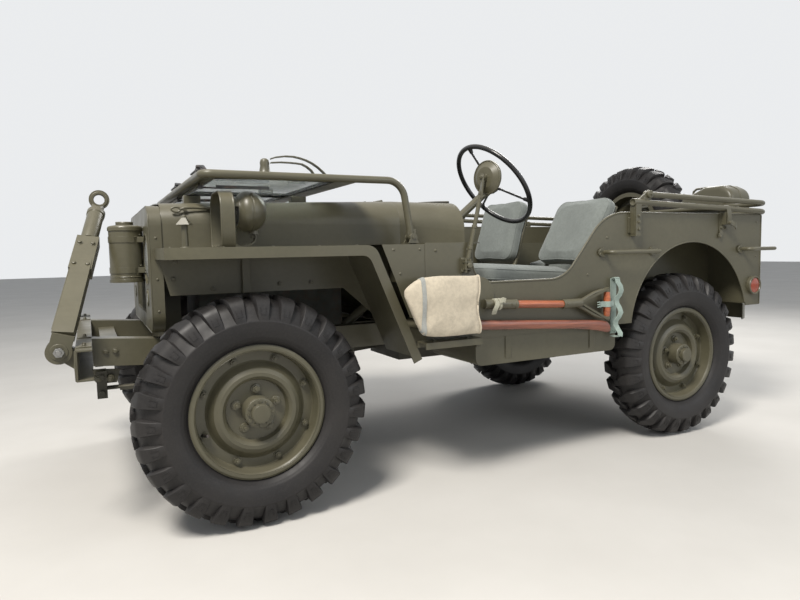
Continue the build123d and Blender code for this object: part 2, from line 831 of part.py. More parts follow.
with BuildPart() as windscreen_frame:
    with BuildLine() as loop:
        FilletPolyline(
            (screen_pin_x, screen_y, screen_pin_z),
            (screen_pin_x + 34, screen_y, screen_z),
            (screen_top_x - 2 * screen_corner, screen_y, screen_z),
            radius=screen_bend,
        )
    with BuildSketch(Plane(origin=loop.line @ 0, x_dir=(0, 1, 0), z_dir=loop.line % 0)):
        Circle(screen_tube_radius)
    sweep()
    mirror(about=Plane.XZ)
    with BuildLine() as header:
        FilletPolyline(
            (screen_top_x - 2 * screen_corner - 1, screen_y, screen_z),
            (screen_top_x, screen_y, screen_z),
            (screen_top_x, -screen_y, screen_z),
            (screen_top_x - 2 * screen_corner - 1, -screen_y, screen_z),
            radius=screen_corner,
        )
    with BuildSketch(Plane(origin=header.line @ 0, x_dir=(0, 1, 0), z_dir=header.line % 0)):
        Circle(screen_tube_radius)
    sweep()
    with BuildSketch(Plane.XY.offset(screen_z - 3)):
        with Locations(((screen_low_x + screen_top_x) / 2, 0)):
            Rectangle(screen_top_x - screen_low_x, 2 * screen_y)
    extrude(amount=6)
    with BuildSketch(Plane.XY.offset(screen_z - inner_frame_thickness / 2)):
        with Locations(((pane_low_x + pane_top_x) / 2, 0)):
            Rectangle(pane_top_x - pane_low_x + border, 2 * pane_half_width + border)
    extrude(amount=inner_frame_thickness)
    with BuildSketch(Plane.XY.offset(screen_z - 40)):
        for side in (1, -1):
            middle, size = pane_places(side)
            with Locations(middle):
                Rectangle(*size)
    extrude(amount=80, mode=Mode.SUBTRACT)
    for side in (1, -1):
        with BuildSketch(side_plane(side * screen_y + pivot_boss_radius)):
            with Locations((screen_pin_x, screen_pin_z)):
                Circle(pivot_boss_radius)
        extrude(amount=2 * pivot_boss_radius)
        with BuildSketch(side_plane(side * screen_y + 2 * pivot_boss_radius)):
            with Locations((screen_pin_x, screen_pin_z)):
                Circle(screen_pin_radius + pin_gap)
        extrude(amount=4 * pivot_boss_radius, mode=Mode.SUBTRACT)
save(windscreen_frame.part, "windscreen_frame")

with BuildPart() as windscreen_glass:
    with BuildSketch(Plane.XY.offset(screen_z - pane_thickness / 2)):
        for side in (1, -1):
            middle, size = pane_places(side)
            with Locations(middle):
                Rectangle(size[0] - 2 * part_gap, size[1] - 2 * part_gap)
    extrude(amount=pane_thickness)
save(windscreen_glass.part, "windscreen_glass")

# Body sides: outline corners behind the front axle, and heights
cowl_edge_x = front_axle_x - 812.0
cut_rear = 1263.0
rise_end = 1490.0
arch_x = rear_axle_x - 13.0
arch_z = 495.0
arch_radius = 405.0
arch_front_x = arch_x + arch_radius
arch_rear_x = front_axle_x - 2412.0
rear_low = 577.0


def at_corner(x, z):
    """The corner of the sketch being drawn that lies nearest to one point."""
    return vertices().sort_by_distance((x, z))[0]


for name, side in (("left", 1), ("right", -1)):
    with BuildPart() as body_side:
        with BuildSketch(side_plane(side * body_half_width)):
            with BuildLine():
                Polyline(
                    (hood_rear_x, sill_bottom),
                    (hood_rear_x, crease_z),
                    (cowl_edge_x, crease_z),
                    (cowl_edge_x, cut_low),
                    (front_axle_x - cut_rear, cut_low),
                    (front_axle_x - rise_end, tub_top),
                    (body_rear_x, tub_top),
                    (body_rear_x, rear_low),
                    (arch_rear_x, rear_low),
                    (arch_rear_x, arch_z),
                    (arch_front_x, sill_bottom),
                    close=True,
                )
            make_face()
            fillet(at_corner(cowl_edge_x, cut_low), 80)
            fillet(at_corner(front_axle_x - cut_rear, cut_low), 160)
            fillet(at_corner(front_axle_x - rise_end, tub_top), 230)
            with Locations((arch_x, arch_z)):
                Circle(arch_radius, mode=Mode.SUBTRACT)
            with Locations(((arch_front_x + arch_rear_x) / 2, arch_z - 200)):
                Rectangle(arch_front_x - arch_rear_x, 400, mode=Mode.SUBTRACT)
        extrude(amount=side * sheet)
    save(body_side.part, f"body_side_{name}")

# Floor, and a wheelhouse over each rear wheel
house_front_x = arch_front_x + 20.0
house_rear_x = arch_rear_x - 40.0
house_top = 916.0
house_inner_y = 500.0
with BuildPart() as tub_floor:
    with BuildSketch(Plane.XY.offset(floor_top - sheet)):
        with Locations(((hood_rear_x + body_rear_x) / 2, 0)):
            Rectangle(hood_rear_x - body_rear_x - 2 * sheet - 2 * part_gap, 2 * inner_half_width)
        for side in (1, -1):
            cut_y = side * (house_inner_y + sheet + inner_half_width) / 2
            with Locations(((house_front_x + house_rear_x) / 2, cut_y)):
                cut_width = inner_half_width - house_inner_y - sheet
                Rectangle(house_front_x - house_rear_x - 2 * sheet, cut_width, mode=Mode.SUBTRACT)
    extrude(amount=sheet)
save(tub_floor.part, "tub_floor")

with BuildPart() as wheelhouses:
    for side in (1, -1):
        house_y = side * (house_inner_y + inner_half_width) / 2
        with BuildSketch(Plane.XY.offset(floor_top + part_gap)):
            with Locations(((house_front_x + house_rear_x) / 2, house_y)):
                Rectangle(house_front_x - house_rear_x, inner_half_width - house_inner_y)
        extrude(amount=house_top - floor_top - part_gap)
        cavity_y = side * (house_inner_y + sheet + inner_half_width + sheet) / 2
        with BuildSketch(Plane.XY.offset(floor_top - sheet)):
            with Locations(((house_front_x + house_rear_x) / 2, cavity_y)):
                Rectangle(house_front_x - house_rear_x - 2 * sheet, inner_half_width - house_inner_y)
        extrude(amount=house_top - floor_top, mode=Mode.SUBTRACT)
save(wheelhouses.part, "wheelhouses")

with BuildPart() as rear_panel:
    with BuildSketch(Plane.YZ.offset(body_rear_x + sheet)):
        with Locations((0, (rear_low + tub_top) / 2)):
            Rectangle(2 * inner_half_width, tub_top - rear_low)
    extrude(amount=-sheet)
save(rear_panel.part, "rear_panel")

# Fuel tank in its well under the driver's seat
tank_low = 432.0
with BuildPart() as fuel_tank:
    with BuildSketch(side_plane(body_half_width - 10)):
        with Locations((front_axle_x - 1195, (tank_low + floor_top - sheet - part_gap) / 2)):
            RectangleRounded(730, floor_top - sheet - part_gap - tank_low, 30)
    extrude(amount=body_half_width - 10 - rail_y - rail_width / 2 - 8)
save(fuel_tank.part, "fuel_tank")

# Steps beside the sills
step_front = 570.0
step_rear = 812.0
step_width = 66.0
with BuildPart() as steps:
    with BuildSketch(Plane.YZ.offset(front_axle_x - step_rear)):
        with BuildLine():
            inner_y = body_half_width + part_gap
            outer_y = inner_y + step_width
            Polyline(
                (inner_y, sill_bottom + 10),
                (outer_y, sill_bottom + 10),
                (outer_y, sill_bottom - 14),
                (outer_y - sheet, sill_bottom - 14),
                (outer_y - sheet, sill_bottom + 10 - sheet),
                (inner_y + sheet, sill_bottom + 10 - sheet),
                (inner_y + sheet, sill_bottom - 14),
                (inner_y, sill_bottom - 14),
                close=True,
            )
        make_face()
    extrude(amount=step_rear - step_front)
    mirror(about=Plane.XZ)
save(steps.part, "steps")

# Grille: flat face with slots and lamp holes, and a flange bent to the rear
grille_top_front = 1052.0
lamp_y = 296.0
lamp_z = 868.0
lamp_hole = 88.0
marker_z = 730.0
marker_hole = 34.0
slot_width = 30.0
slot_pitch = 44.0
slot_low = 668.0
slot_high = 992.0
with BuildPart() as grille:
    with BuildSketch(Plane.YZ.offset(grille_x)):
        with Locations((0, (grille_low + grille_top_front) / 2)):
            RectangleRounded(2 * grille_half_width, grille_top_front - grille_low, 70)
    extrude(amount=-grille_depth)
    with BuildSketch(Plane.YZ.offset(grille_x - sheet)):
        with Locations((0, (grille_low + grille_top_front) / 2)):
            RectangleRounded(2 * (grille_half_width - sheet), grille_top_front - grille_low - 2 * sheet, 66)
    extrude(amount=-grille_depth, mode=Mode.SUBTRACT)
    with BuildSketch(Plane.YZ.offset(grille_x)):
        with Locations((0, (slot_low + slot_high) / 2)):
            with GridLocations(slot_pitch, 10, 9, 1):
                SlotOverall(slot_high - slot_low, slot_width, rotation=90)
        for side in (1, -1):
            with Locations((side * lamp_y, lamp_z)):
                Circle(lamp_hole)
            with Locations((side * lamp_y, marker_z)):
                Circle(marker_hole)
    extrude(amount=-2 * sheet, mode=Mode.SUBTRACT)
save(grille.part, "grille")

# Headlamps and marker lamps behind the grille, on brackets from the fender aprons
lamp_radius = 80.0
lamp_face_x = grille_x - sheet - 2
with BuildPart() as front_lamps:
    for side in (1, -1):
        lamp_table = [
            # height, radius, depth
            (lamp_z, lamp_radius, 70),
            (marker_z, marker_hole - 4, 44),
        ]
        for z, radius, depth in lamp_table:
            with BuildSketch(Plane.YZ.offset(lamp_face_x)):
                with Locations((side * lamp_y, z)):
                    Circle(radius)
            extrude(amount=-depth)
        with BuildSketch(Plane.YZ.offset(lamp_face_x - 20)):
            with Locations((side * (lamp_y + 20), (lamp_z + marker_z) / 2)):
                Rectangle(30, lamp_z - marker_z)
        extrude(amount=-8)
        with BuildSketch(Plane.YZ.offset(lamp_face_x - 20)):
            width = grille_half_width - sheet - part_gap - lamp_y
            with Locations((side * (lamp_y + width / 2), (lamp_z + marker_z) / 2)):
                Rectangle(width, 30)
        extrude(amount=-8)
save(front_lamps.part, "front_lamps")

# Drive lamp and its guard hoop on the left fender
drive_lamp_x = front_axle_x - 34.0
drive_lamp_y = 566.0
drive_lamp_z = 1018.0
guard_x = front_axle_x + 92.0
with BuildPart() as drive_lamp:
    with BuildSketch(Plane.YZ.offset(drive_lamp_x + 34)):
        with Locations((drive_lamp_y, drive_lamp_z)):
            Circle(69)
    extrude(amount=-22)
    with BuildSketch(Plane.YZ.offset(drive_lamp_x + 12)):
        with Locations((drive_lamp_y, drive_lamp_z)):
            Circle(66)
    extrude(amount=-62, taper=28)
    with BuildSketch(Plane.XY.offset(fender_top + part_gap)):
        with Locations((drive_lamp_x, drive_lamp_y)):
            Rectangle(60, 40)
    extrude(amount=8)
    with BuildSketch(Plane.XY.offset(fender_top + part_gap)):
        with Locations((drive_lamp_x - 8, drive_lamp_y)):
            Rectangle(16, 26)
    extrude(amount=60)
    with BuildSketch(Plane.YZ.offset(guard_x)):
        with Locations((drive_lamp_y, (fender_top + part_gap + 1086) / 2)):
            RectangleRounded(180, 1086 - fender_top - part_gap, 60)
            RectangleRounded(172, 1086 - fender_top - part_gap - 8, 56, mode=Mode.SUBTRACT)
    extrude(amount=-42)
save(drive_lamp.part, "drive_lamp")

# Steering column down to the gear on the left rail, and the steering wheel
gear_x = front_axle_x - 345.0
column_length = (gear_x - column_top.X) / column_along.X
wheel_rim_radius = 211.0
wheel_rim_section = 11.0
spoke_radius = 5.0
hub_height = 20.0
column_start = 26.0
shaft_radius_top = 9.0
shaft_length = 60.0
gear_width = 60.0
with BuildPart() as steering_column:
    with BuildSketch(Plane(origin=column_top + column_along * column_start, x_dir=(0, 1, 0), z_dir=column_along)):
        Circle(column_radius)
    extrude(amount=column_length - column_start)
    gear_centre = column_top + column_along * column_length
    with BuildSketch(Plane.XY.offset(gear_centre.Z - 70)):
        with Locations((gear_centre.X, rail_y - rail_width / 2 - part_gap - gear_width / 2)):
            Rectangle(110, gear_width)
    extrude(amount=120)
    with BuildSketch(Plane(origin=column_top, x_dir=(0, 1, 0), z_dir=column_along)):
        Circle(shaft_radius_top + pin_gap)
    extrude(amount=column_start + shaft_length + 2, mode=Mode.SUBTRACT)
save(steering_column.part, "steering_column")

wheel_axis = -column_along
wheel_place = Plane(origin=column_top, x_dir=(0, 1, 0), z_dir=wheel_axis)
with BuildPart() as steering_wheel:
    rim_start = column_top + wheel_place.x_dir * wheel_rim_radius
    with BuildSketch(Plane(origin=rim_start, x_dir=wheel_place.x_dir, z_dir=wheel_place.y_dir)):
        Circle(wheel_rim_section)
    revolve(axis=Axis(column_top, wheel_axis))
    with BuildSketch(wheel_place.offset(0.5 - column_start)):
        Circle(30)
    extrude(amount=column_start + hub_height - 14)
    with BuildSketch(wheel_place):
        Circle(shaft_radius_top)
    extrude(amount=-column_start - shaft_length)
    for count in range(3):
        angle = radians(-90 + 120 * count)
        spoke = wheel_place.x_dir * cos(angle) + wheel_place.y_dir * sin(angle)
        with BuildSketch(Plane(origin=column_top - wheel_axis * 6, x_dir=wheel_axis, z_dir=spoke)):
            Circle(spoke_radius)
        extrude(amount=wheel_rim_radius)
save(steering_wheel.part, "steering_wheel")

# Seats: middle, half width, cushion and back places behind the front axle
seat_y = 305.0
seat_half_width = 190.0
cushion_thickness = 68.0
back_thickness = 62.0
front_seats = [
    # side, cushion front, cushion rear, front height, rear height, back foot, back lean in degrees
    (1, 1036, 1556, 812, 778, 1592, 29),
    (-1, 1036, 1556, 812, 778, 1612, 17),
]
back_length = 366.0
seat_tube_radius = 11.0
rear_seat_front = 1985.0
rear_seat_depth = 330.0
rear_seat_half_width = 440.0
rear_seat_top = 800.0
rear_back_foot = 2330.0
rear_back_lean = 15.0


def cushion_outline(front, rear, front_z, rear_z):
    """Side outline of a cushion, from its upper corners."""
    return [
        (front_axle_x - front, front_z),
        (front_axle_x - rear, rear_z),
        (front_axle_x - rear, rear_z - cushion_thickness),
        (front_axle_x - front, front_z - cushion_thickness),
    ]


def back_outline(foot, foot_z, lean, length):
    """Side outline of a seat back, from the lower front corner of its pad."""
    up = Vector(-sin(radians(lean)), cos(radians(lean)))
    rear = Vector(-cos(radians(lean)), -sin(radians(lean)))
    start = Vector(front_axle_x - foot, foot_z)
    corners = [start, start + up * length, start + up * length + rear * back_thickness, start + rear * back_thickness]
    return [(corner.X, corner.Y) for corner in corners]


pad_table = []
for side, front, rear, front_z, rear_z, foot, lean in front_seats:
    pad_table.append((side * seat_y, seat_half_width, cushion_outline(front, rear, front_z, rear_z),
                      back_outline(foot, 815.0, lean, back_length)))
pad_table.append((0.0, rear_seat_half_width,
                  cushion_outline(rear_seat_front, rear_seat_front + rear_seat_depth, rear_seat_top, rear_seat_top),
                  back_outline(rear_back_foot, rear_seat_top + 10, rear_back_lean, 210.0)))
for label, column in (("seat_cushions", 2), ("seat_backs", 3)):
    with BuildPart() as pads:
        for row in pad_table:
            with BuildSketch(side_plane(row[0] + row[1])):
                with BuildLine():
                    Polyline(row[column], close=True)
                make_face()
                fillet(vertices(), 16)
            extrude(amount=2 * row[1])
    save(pads.part, label)

with BuildPart() as seat_frames:
    for y, half_width, cushion, back in pad_table:
        pan_drop = Vector(0, -part_gap)
        lower_front = Vector(*cushion[3]) + pan_drop
        lower_rear = Vector(*cushion[2]) + pan_drop
        with BuildSketch(side_plane(y + half_width - 10)):
            with BuildLine():
                Polyline(
                    (lower_front.X, lower_front.Y),
                    (lower_rear.X, lower_rear.Y),
                    (lower_rear.X, lower_rear.Y - 8),
                    (lower_front.X, lower_front.Y - 8),
                    close=True,
                )
            make_face()
        extrude(amount=2 * half_width - 20)
        rear_low_corner = Vector(*back[3])
        rear_high_corner = Vector(*back[2])
        outwards = (rear_low_corner - Vector(*back[0])).normalized()
        low_point = rear_low_corner + outwards * (seat_tube_radius + part_gap)
        high_point = rear_high_corner + outwards * (seat_tube_radius + part_gap)
        up = (high_point - low_point).normalized()
        high_point = high_point - up * 30
        for edge in (y + half_width - 30, y - half_width + 30):
            leg_line = [
                (lower_front.X - 20, edge, lower_front.Y - seat_tube_radius - 3),
                (lower_rear.X - seat_tube_radius - 2, edge, lower_rear.Y - seat_tube_radius - 3),
            ]
            stretches = [
                (leg_line[0], leg_line[1]),
                (leg_line[1], (low_point.X, edge, low_point.Y)),
                ((low_point.X, edge, low_point.Y), (high_point.X, edge, high_point.Y)),
                (leg_line[0], (leg_line[0][0], edge, floor_top + part_gap)),
                (leg_line[1], (leg_line[1][0], edge, floor_top + part_gap)),
            ]
            for start, end in stretches:
                along = Vector(*end) - Vector(*start)
                with BuildSketch(Plane(origin=start, x_dir=(0, 1, 0), z_dir=along)):
                    Circle(seat_tube_radius)
                extrude(amount=along.length)
                with Locations(start):
                    Sphere(seat_tube_radius)
save(seat_frames.part, "seat_frames")

# Carrier for the spare wheel on the rear panel
spare_disc_side = disc_side - disc_wall
carrier_x = body_rear_x - part_gap
carrier_end_x = spare_x - spare_disc_side + part_gap
with BuildPart() as spare_carrier:
    with BuildSketch(Plane.YZ.offset(carrier_x)):
        with Locations((spare_y, spare_z - 110)):
            RectangleRounded(250, 210, 20)
    extrude(amount=-6)
    with BuildSketch(Plane.YZ.offset(carrier_x)):
        with Locations((spare_y, spare_z - 37)):
            Rectangle(110, 70)
            Rectangle(98, 58, mode=Mode.SUBTRACT)
    extrude(amount=carrier_end_x + 8 - carrier_x)
    with BuildSketch(Plane.YZ.offset(carrier_end_x)):
        with Locations((spare_y, spare_z)):
            Circle(90)
    extrude(amount=8)

# Fuel can in its holder, left of the spare wheel
can_gap = 60.0
can_depth = 165.0
can_width = 330.0
can_y = 355.0
can_low = 737.0
can_height = 470.0
can_front_x = body_rear_x - can_gap
can_x = can_front_x - can_depth / 2
holder_wall = 4.0
with BuildPart() as can_holder:
    with BuildSketch(Plane.YZ.offset(carrier_x)):
        with Locations((can_y, can_low + 90)):
            Rectangle(can_width - 40, 200)
    extrude(amount=-holder_wall)
    holder_depth = can_depth + 2 * (part_gap + holder_wall)
    holder_width = can_width + 2 * (part_gap + holder_wall)
    with BuildSketch(Plane.XY.offset(can_low - part_gap - holder_wall)):
        with Locations((can_x, can_y)):
            Rectangle(holder_depth, holder_width)
    extrude(amount=44)
    with BuildSketch(Plane.XY.offset(can_low - part_gap)):
        with Locations((can_x, can_y)):
            Rectangle(holder_depth - 2 * holder_wall, holder_width - 2 * holder_wall)
    extrude(amount=60, mode=Mode.SUBTRACT)
    for side in (1, -1):
        with BuildSketch(Plane.XY.offset(can_low - part_gap - holder_wall)):
            with Locations(((carrier_x + can_front_x) / 2, can_y + side * (can_width / 2 - 40))):
                Rectangle(carrier_x - can_front_x, 30)
        extrude(amount=30)
with BuildPart() as rear_carriers:
    add(spare_carrier.part)
    add(can_holder.part)
save(rear_carriers.part, "rear_carriers")

can_handle_height = 42.0
with BuildPart() as jerrycan:
    with BuildSketch(Plane.XY.offset(can_low)):
        with Locations((can_x, can_y)):
            RectangleRounded(can_depth, can_width, 26)
    extrude(amount=can_height - can_handle_height)
    for offset in (-50, 0, 50):
        with BuildSketch(Plane.YZ.offset(can_x + offset + 7)):
            with Locations((can_y - 30, can_low + can_height - can_handle_height / 2 - 2)):
                RectangleRounded(180, can_handle_height + 4, 20)
                RectangleRounded(156, can_handle_height - 20, 9, mode=Mode.SUBTRACT)
        extrude(amount=-14)
save(jerrycan.part, "jerrycan")

# Two folded top bows along the tub's rim
socket_x = front_axle_x - 1650.0
socket_width = 32.0
link_x = socket_x - socket_width / 2 - part_gap
bow_y = body_half_width + 18.0
bow_radius = 12.5
bow_corner = 90.0
bow_rear_x = body_rear_x - 42.0
bow_table = [
    # front end behind the front axle, height there, height at the rear
    (1693, 1070, 1040),
    (1726, 1106, 1083),
]
with BuildPart() as top_bows:
    for front, front_z, rear_z in bow_table:
        with BuildLine() as bow:
            FilletPolyline(
                (front_axle_x - front, bow_y, front_z),
                (bow_rear_x, bow_y, rear_z),
                (bow_rear_x, -bow_y, rear_z),
                (front_axle_x - front, -bow_y, front_z),
                radius=bow_corner,
            )
        with BuildSketch(Plane(origin=bow.line @ 0, x_dir=(0, 1, 0), z_dir=bow.line % 0)):
            Circle(bow_radius)
        sweep()
    low_end = Vector(front_axle_x - bow_table[0][0], bow_table[0][1])
    high_end = Vector(front_axle_x - bow_table[1][0], bow_table[1][1])
    for side in (1, -1):
        with BuildSketch(side_plane(side * bow_y + 5)):
            with BuildLine():
                Polyline(
                    (link_x, low_end.Y - 26),
                    (link_x, low_end.Y + 16),
                    (high_end.X + 4, high_end.Y + 20),
                    (high_end.X - 18, high_end.Y - 6),
                    (low_end.X - 19, low_end.Y - 20),
                    close=True,
                )
            make_face()
        extrude(amount=10)
save(top_bows.part, "top_bows")

# Sockets and clamps that hold the bows on the body sides
socket_low = tub_top - 101.0
socket_high = bow_table[0][1] - 1.0
socket_plate_z = tub_top - 56.0
clamp_plate_z = tub_top - 36.0
clamp_low = tub_top - 50.0
bow_clamp_x = front_axle_x - 2250.0
plate_y = body_half_width + part_gap
clamp_share = (bow_table[0][0] + bow_clamp_x - front_axle_x) / (bow_rear_x - front_axle_x + bow_table[0][0])
clamp_bow_z = bow_table[0][1] + (bow_table[0][2] - bow_table[0][1]) * clamp_share
clamp_width = 30.0
clamp_drop = bow_radius + clamp_width * 0.04 + part_gap
with BuildPart() as bow_brackets:
    for side in (1, -1):
        with BuildSketch(Plane.XY.offset(socket_low)):
            with Locations((socket_x, side * (plate_y + socket_width / 2))):
                Rectangle(socket_width, socket_width)
        extrude(amount=socket_high - socket_low)
        with BuildSketch(outward_plane(socket_x, side * plate_y, socket_plate_z)):
            Rectangle(64, 60)
        extrude(amount=5)
        with BuildSketch(outward_plane(bow_clamp_x, side * plate_y, clamp_plate_z)):
            Rectangle(56, 80)
        extrude(amount=5)
        clamp_top = clamp_bow_z - clamp_drop
        with BuildSketch(outward_plane(bow_clamp_x, side * plate_y, (clamp_top + clamp_low) / 2)):
            Rectangle(clamp_width, clamp_top - clamp_low)
        extrude(amount=30)
save(bow_brackets.part, "bow_brackets")

# Grab handles: along the sides and around the rear corners
handle_radius = 9.0
handle_y = body_half_width + 55.0
handle_z = tub_top - 168.0
side_handle_front = 1477.0
side_handle_rear = 1769.0
corner_handle_front = 2393.0
corner_handle_x = body_rear_x - 44.0
corner_handle_y = body_half_width - 123.0
flange_radius = 20.0
with BuildPart() as grab_handles:
    front_x = front_axle_x - side_handle_front
    rear_x = front_axle_x - side_handle_rear
    corner_x = front_axle_x - corner_handle_front
    bar_table = [
        [
            (front_x, plate_y, handle_z),
            (front_x, handle_y, handle_z),
            (rear_x, handle_y, handle_z),
            (rear_x, plate_y, handle_z),
        ],
        [
            (corner_x, plate_y, handle_z),
            (corner_x, handle_y, handle_z),
            (corner_handle_x, handle_y, handle_z),
            (corner_handle_x, corner_handle_y, handle_z),
            (body_rear_x - part_gap, corner_handle_y, handle_z),
        ],
    ]
    for corners in bar_table:
        with BuildLine() as bar:
            FilletPolyline(*corners, radius=24)
        with BuildSketch(Plane(origin=bar.line @ 0, x_dir=(0, 0, 1), z_dir=bar.line % 0)):
            Circle(handle_radius)
        sweep()
    for x in (front_x, rear_x, corner_x):
        with BuildSketch(outward_plane(x, plate_y, handle_z)):
            Circle(flange_radius)
        extrude(amount=5)
    with BuildSketch(Plane.YZ.offset(body_rear_x - part_gap)):
        with Locations((corner_handle_y, handle_z)):
            Circle(flange_radius)
    extrude(amount=-5)
    mirror(about=Plane.XZ)
save(grab_handles.part, "grab_handles")

# Rear-view mirror, its arm and its bracket on the left side
mirror_centre = Vector(front_axle_x - 872.0, body_half_width + 19.0, 1147.0)
mirror_radius = 63.0
mirror_turn = 15.0
mirror_foot = Vector(front_axle_x - 778.0, plate_y + 14, 822.0)
mirror_arm_radius = 8.0
with BuildPart() as rear_mirror:
    facing = Vector(cos(radians(mirror_turn)), sin(radians(mirror_turn)), 0)
    mirror_face = Plane(origin=mirror_centre, x_dir=(0, 0, 1), z_dir=facing)
    with BuildSketch(mirror_face):
        Circle(mirror_radius)
    extrude(amount=7)
    with BuildSketch(mirror_face.offset(6)):
        Circle(mirror_radius - 4)
    extrude(amount=12, taper=60)
    with BuildSketch(mirror_face):
        Circle(13)
    extrude(amount=30)
    arm_high = mirror_centre + facing * 22
    with BuildSketch(between(tuple(mirror_foot), tuple(arm_high))):
        Circle(mirror_arm_radius)
    extrude(amount=(arm_high - mirror_foot).length)
    with BuildSketch(outward_plane(mirror_foot.X, plate_y, mirror_foot.Z)):
        Rectangle(40, 60)
    extrude(amount=6)
    with BuildSketch(outward_plane(mirror_foot.X, plate_y, mirror_foot.Z)):
        Rectangle(26, 34)
    extrude(amount=24)
save(rear_mirror.part, "mirror")

# Round can strapped to the front of the grille
canister_radius = 55.5
canister_y = 190.0
canister_low = 786.0
canister_height = 199.0
canister_x = grille_x + canister_radius + 4.0
with BuildPart() as canister:
    with BuildSketch(Plane.XY.offset(canister_low)):
        with Locations((canister_x, canister_y)):
            Circle(canister_radius)
    extrude(amount=canister_height)
    for z in (canister_low, canister_low + canister_height - 12):
        with BuildSketch(Plane.XY.offset(z)):
            with Locations((canister_x, canister_y)):
                Circle(canister_radius + 3)
        extrude(amount=12)
    with BuildSketch(Plane.XY.offset(canister_low + canister_height)):
        with Locations((canister_x, canister_y)):
            Circle(canister_radius - 26)
    extrude(amount=18)
    for z in (canister_low + 34, canister_low + canister_height - 54):
        with BuildSketch(Plane.XY.offset(z)):
            with Locations(((grille_x + part_gap + canister_x) / 2, canister_y)):
                Rectangle(canister_x - grille_x - part_gap, 84)
        extrude(amount=20)
save(canister.part, "canister")

# Shovel and axe on the left side: steel parts, then wooden parts
blade_wall = 7.0
tool_y = plate_y + 27.0
tool_drop = 0.055
shovel_z = 640.0
axe_z = 557.0
grip_x = front_axle_x - 1472.0
grip_height = 104.0
grip_radius = 13.0
collar_x = front_axle_x - 996.0
yoke_x = front_axle_x - 1227.0
yoke_sleeve = 96.0
axe_head_x = front_axle_x - 770.0


def shovel_height(x):
    """Height of the shovel's middle line at one place along the car."""
    return shovel_z + tool_drop * (x - grip_x)


def axe_height(x):
    """Height of the axe helve's middle line at one place along the car."""
    return axe_z + 1.2 * tool_drop * (x - grip_x)


shaft_start = Vector(collar_x + 30, tool_y, shovel_height(collar_x + 30))
shaft_end = Vector(yoke_x - 20, tool_y, shovel_height(yoke_x - 20))
helve_start = Vector(axe_head_x + 40, tool_y, axe_height(axe_head_x + 40))
helve_end = Vector(grip_x - 10, tool_y, axe_height(grip_x))
helve_half_width = 12.0
helve_half_height = 19.0
axe_half_width = 17.0
wood_radius = 14.5
socket_radius = 18.0
with BuildPart() as tool_heads:
    blade_x = front_axle_x - 770.0
    with BuildSketch(outward_plane(blade_x, plate_y, shovel_height(blade_x))):
        RectangleRounded(270, 200, 70)
    extrude(amount=blade_wall)
    neck = Vector(blade_x - 80, plate_y + socket_radius + 1, shovel_height(blade_x - 80))
    collar = Vector(collar_x, tool_y, shovel_height(collar_x))
    with BuildSketch(between(tuple(neck), tuple(collar), (0, 1, 0))):
        Circle(socket_radius)
    extrude(amount=(collar - neck).length)
    fork = Vector(yoke_x, tool_y, shovel_height(yoke_x))
    with BuildSketch(Plane(origin=fork, x_dir=(0, 1, 0), z_dir=(-1, 0, 0))):
        Circle(socket_radius)
    extrude(amount=yoke_sleeve)
    with BuildSketch(Plane(origin=shaft_start, x_dir=(0, 1, 0), z_dir=shaft_end - shaft_start)):
        Circle(wood_radius + pin_gap)
    extrude(amount=(shaft_end - shaft_start).length, mode=Mode.SUBTRACT)
    for side in (1, -1):
        yoke_start = Vector(yoke_x - yoke_sleeve + 6, tool_y, shovel_height(yoke_x))
        yoke_end = Vector(grip_x, tool_y, shovel_height(grip_x) + side * (grip_height / 2 + 13))
        with BuildSketch(between(tuple(yoke_start), tuple(yoke_end), (0, 1, 0))):
            Rectangle(20, 9)
        extrude(amount=(yoke_end - yoke_start).length + 6)
        with BuildSketch(Plane.XY.offset(shovel_height(grip_x) + side * grip_height / 2)):
            with Locations((grip_x, tool_y)):
                Circle(grip_radius)
        extrude(amount=side * 12)
    with BuildSketch(side_plane(tool_y + axe_half_width)):
        with BuildLine():
            head_z = axe_height(axe_head_x)
            Polyline(
                (axe_head_x - 30, head_z - 34),
                (axe_head_x - 46, head_z + 84),
                (axe_head_x + 46, head_z + 84),
                (axe_head_x + 30, head_z - 34),
                close=True,
            )
        make_face()
    extrude(amount=2 * axe_half_width)
    with BuildSketch(Plane(origin=helve_start, x_dir=(0, 1, 0), z_dir=helve_end - helve_start)):
        Ellipse(helve_half_width + pin_gap, helve_half_height + pin_gap)
    extrude(amount=(helve_end - helve_start).length, mode=Mode.SUBTRACT)
save(tool_heads.part, "tool_heads")

with BuildPart() as tool_handles:
    with BuildSketch(Plane(origin=shaft_start, x_dir=(0, 1, 0), z_dir=shaft_end - shaft_start)):
        Circle(wood_radius)
    extrude(amount=(shaft_end - shaft_start).length - part_gap)
    with BuildSketch(Plane.XY.offset(shovel_height(grip_x) - grip_height / 2 + part_gap)):
        with Locations((grip_x, tool_y)):
            Circle(grip_radius)
    extrude(amount=grip_height - 2 * part_gap)
    with BuildSketch(Plane(origin=helve_start, x_dir=(0, 1, 0), z_dir=helve_end - helve_start)):
        Ellipse(helve_half_width, helve_half_height)
    extrude(amount=(helve_end - helve_start).length)
save(tool_handles.part, "tool_handles")

# Clamp behind the tool grips, and the folded canvas bucket at the front of the blade
clamp_x = grip_x - 63.0
with BuildPart() as tool_clamp:
    with BuildSketch(outward_plane(clamp_x, plate_y, 625)):
        Rectangle(26, 238)
    extrude(amount=42)
save(tool_clamp.part, "tool_clamp")

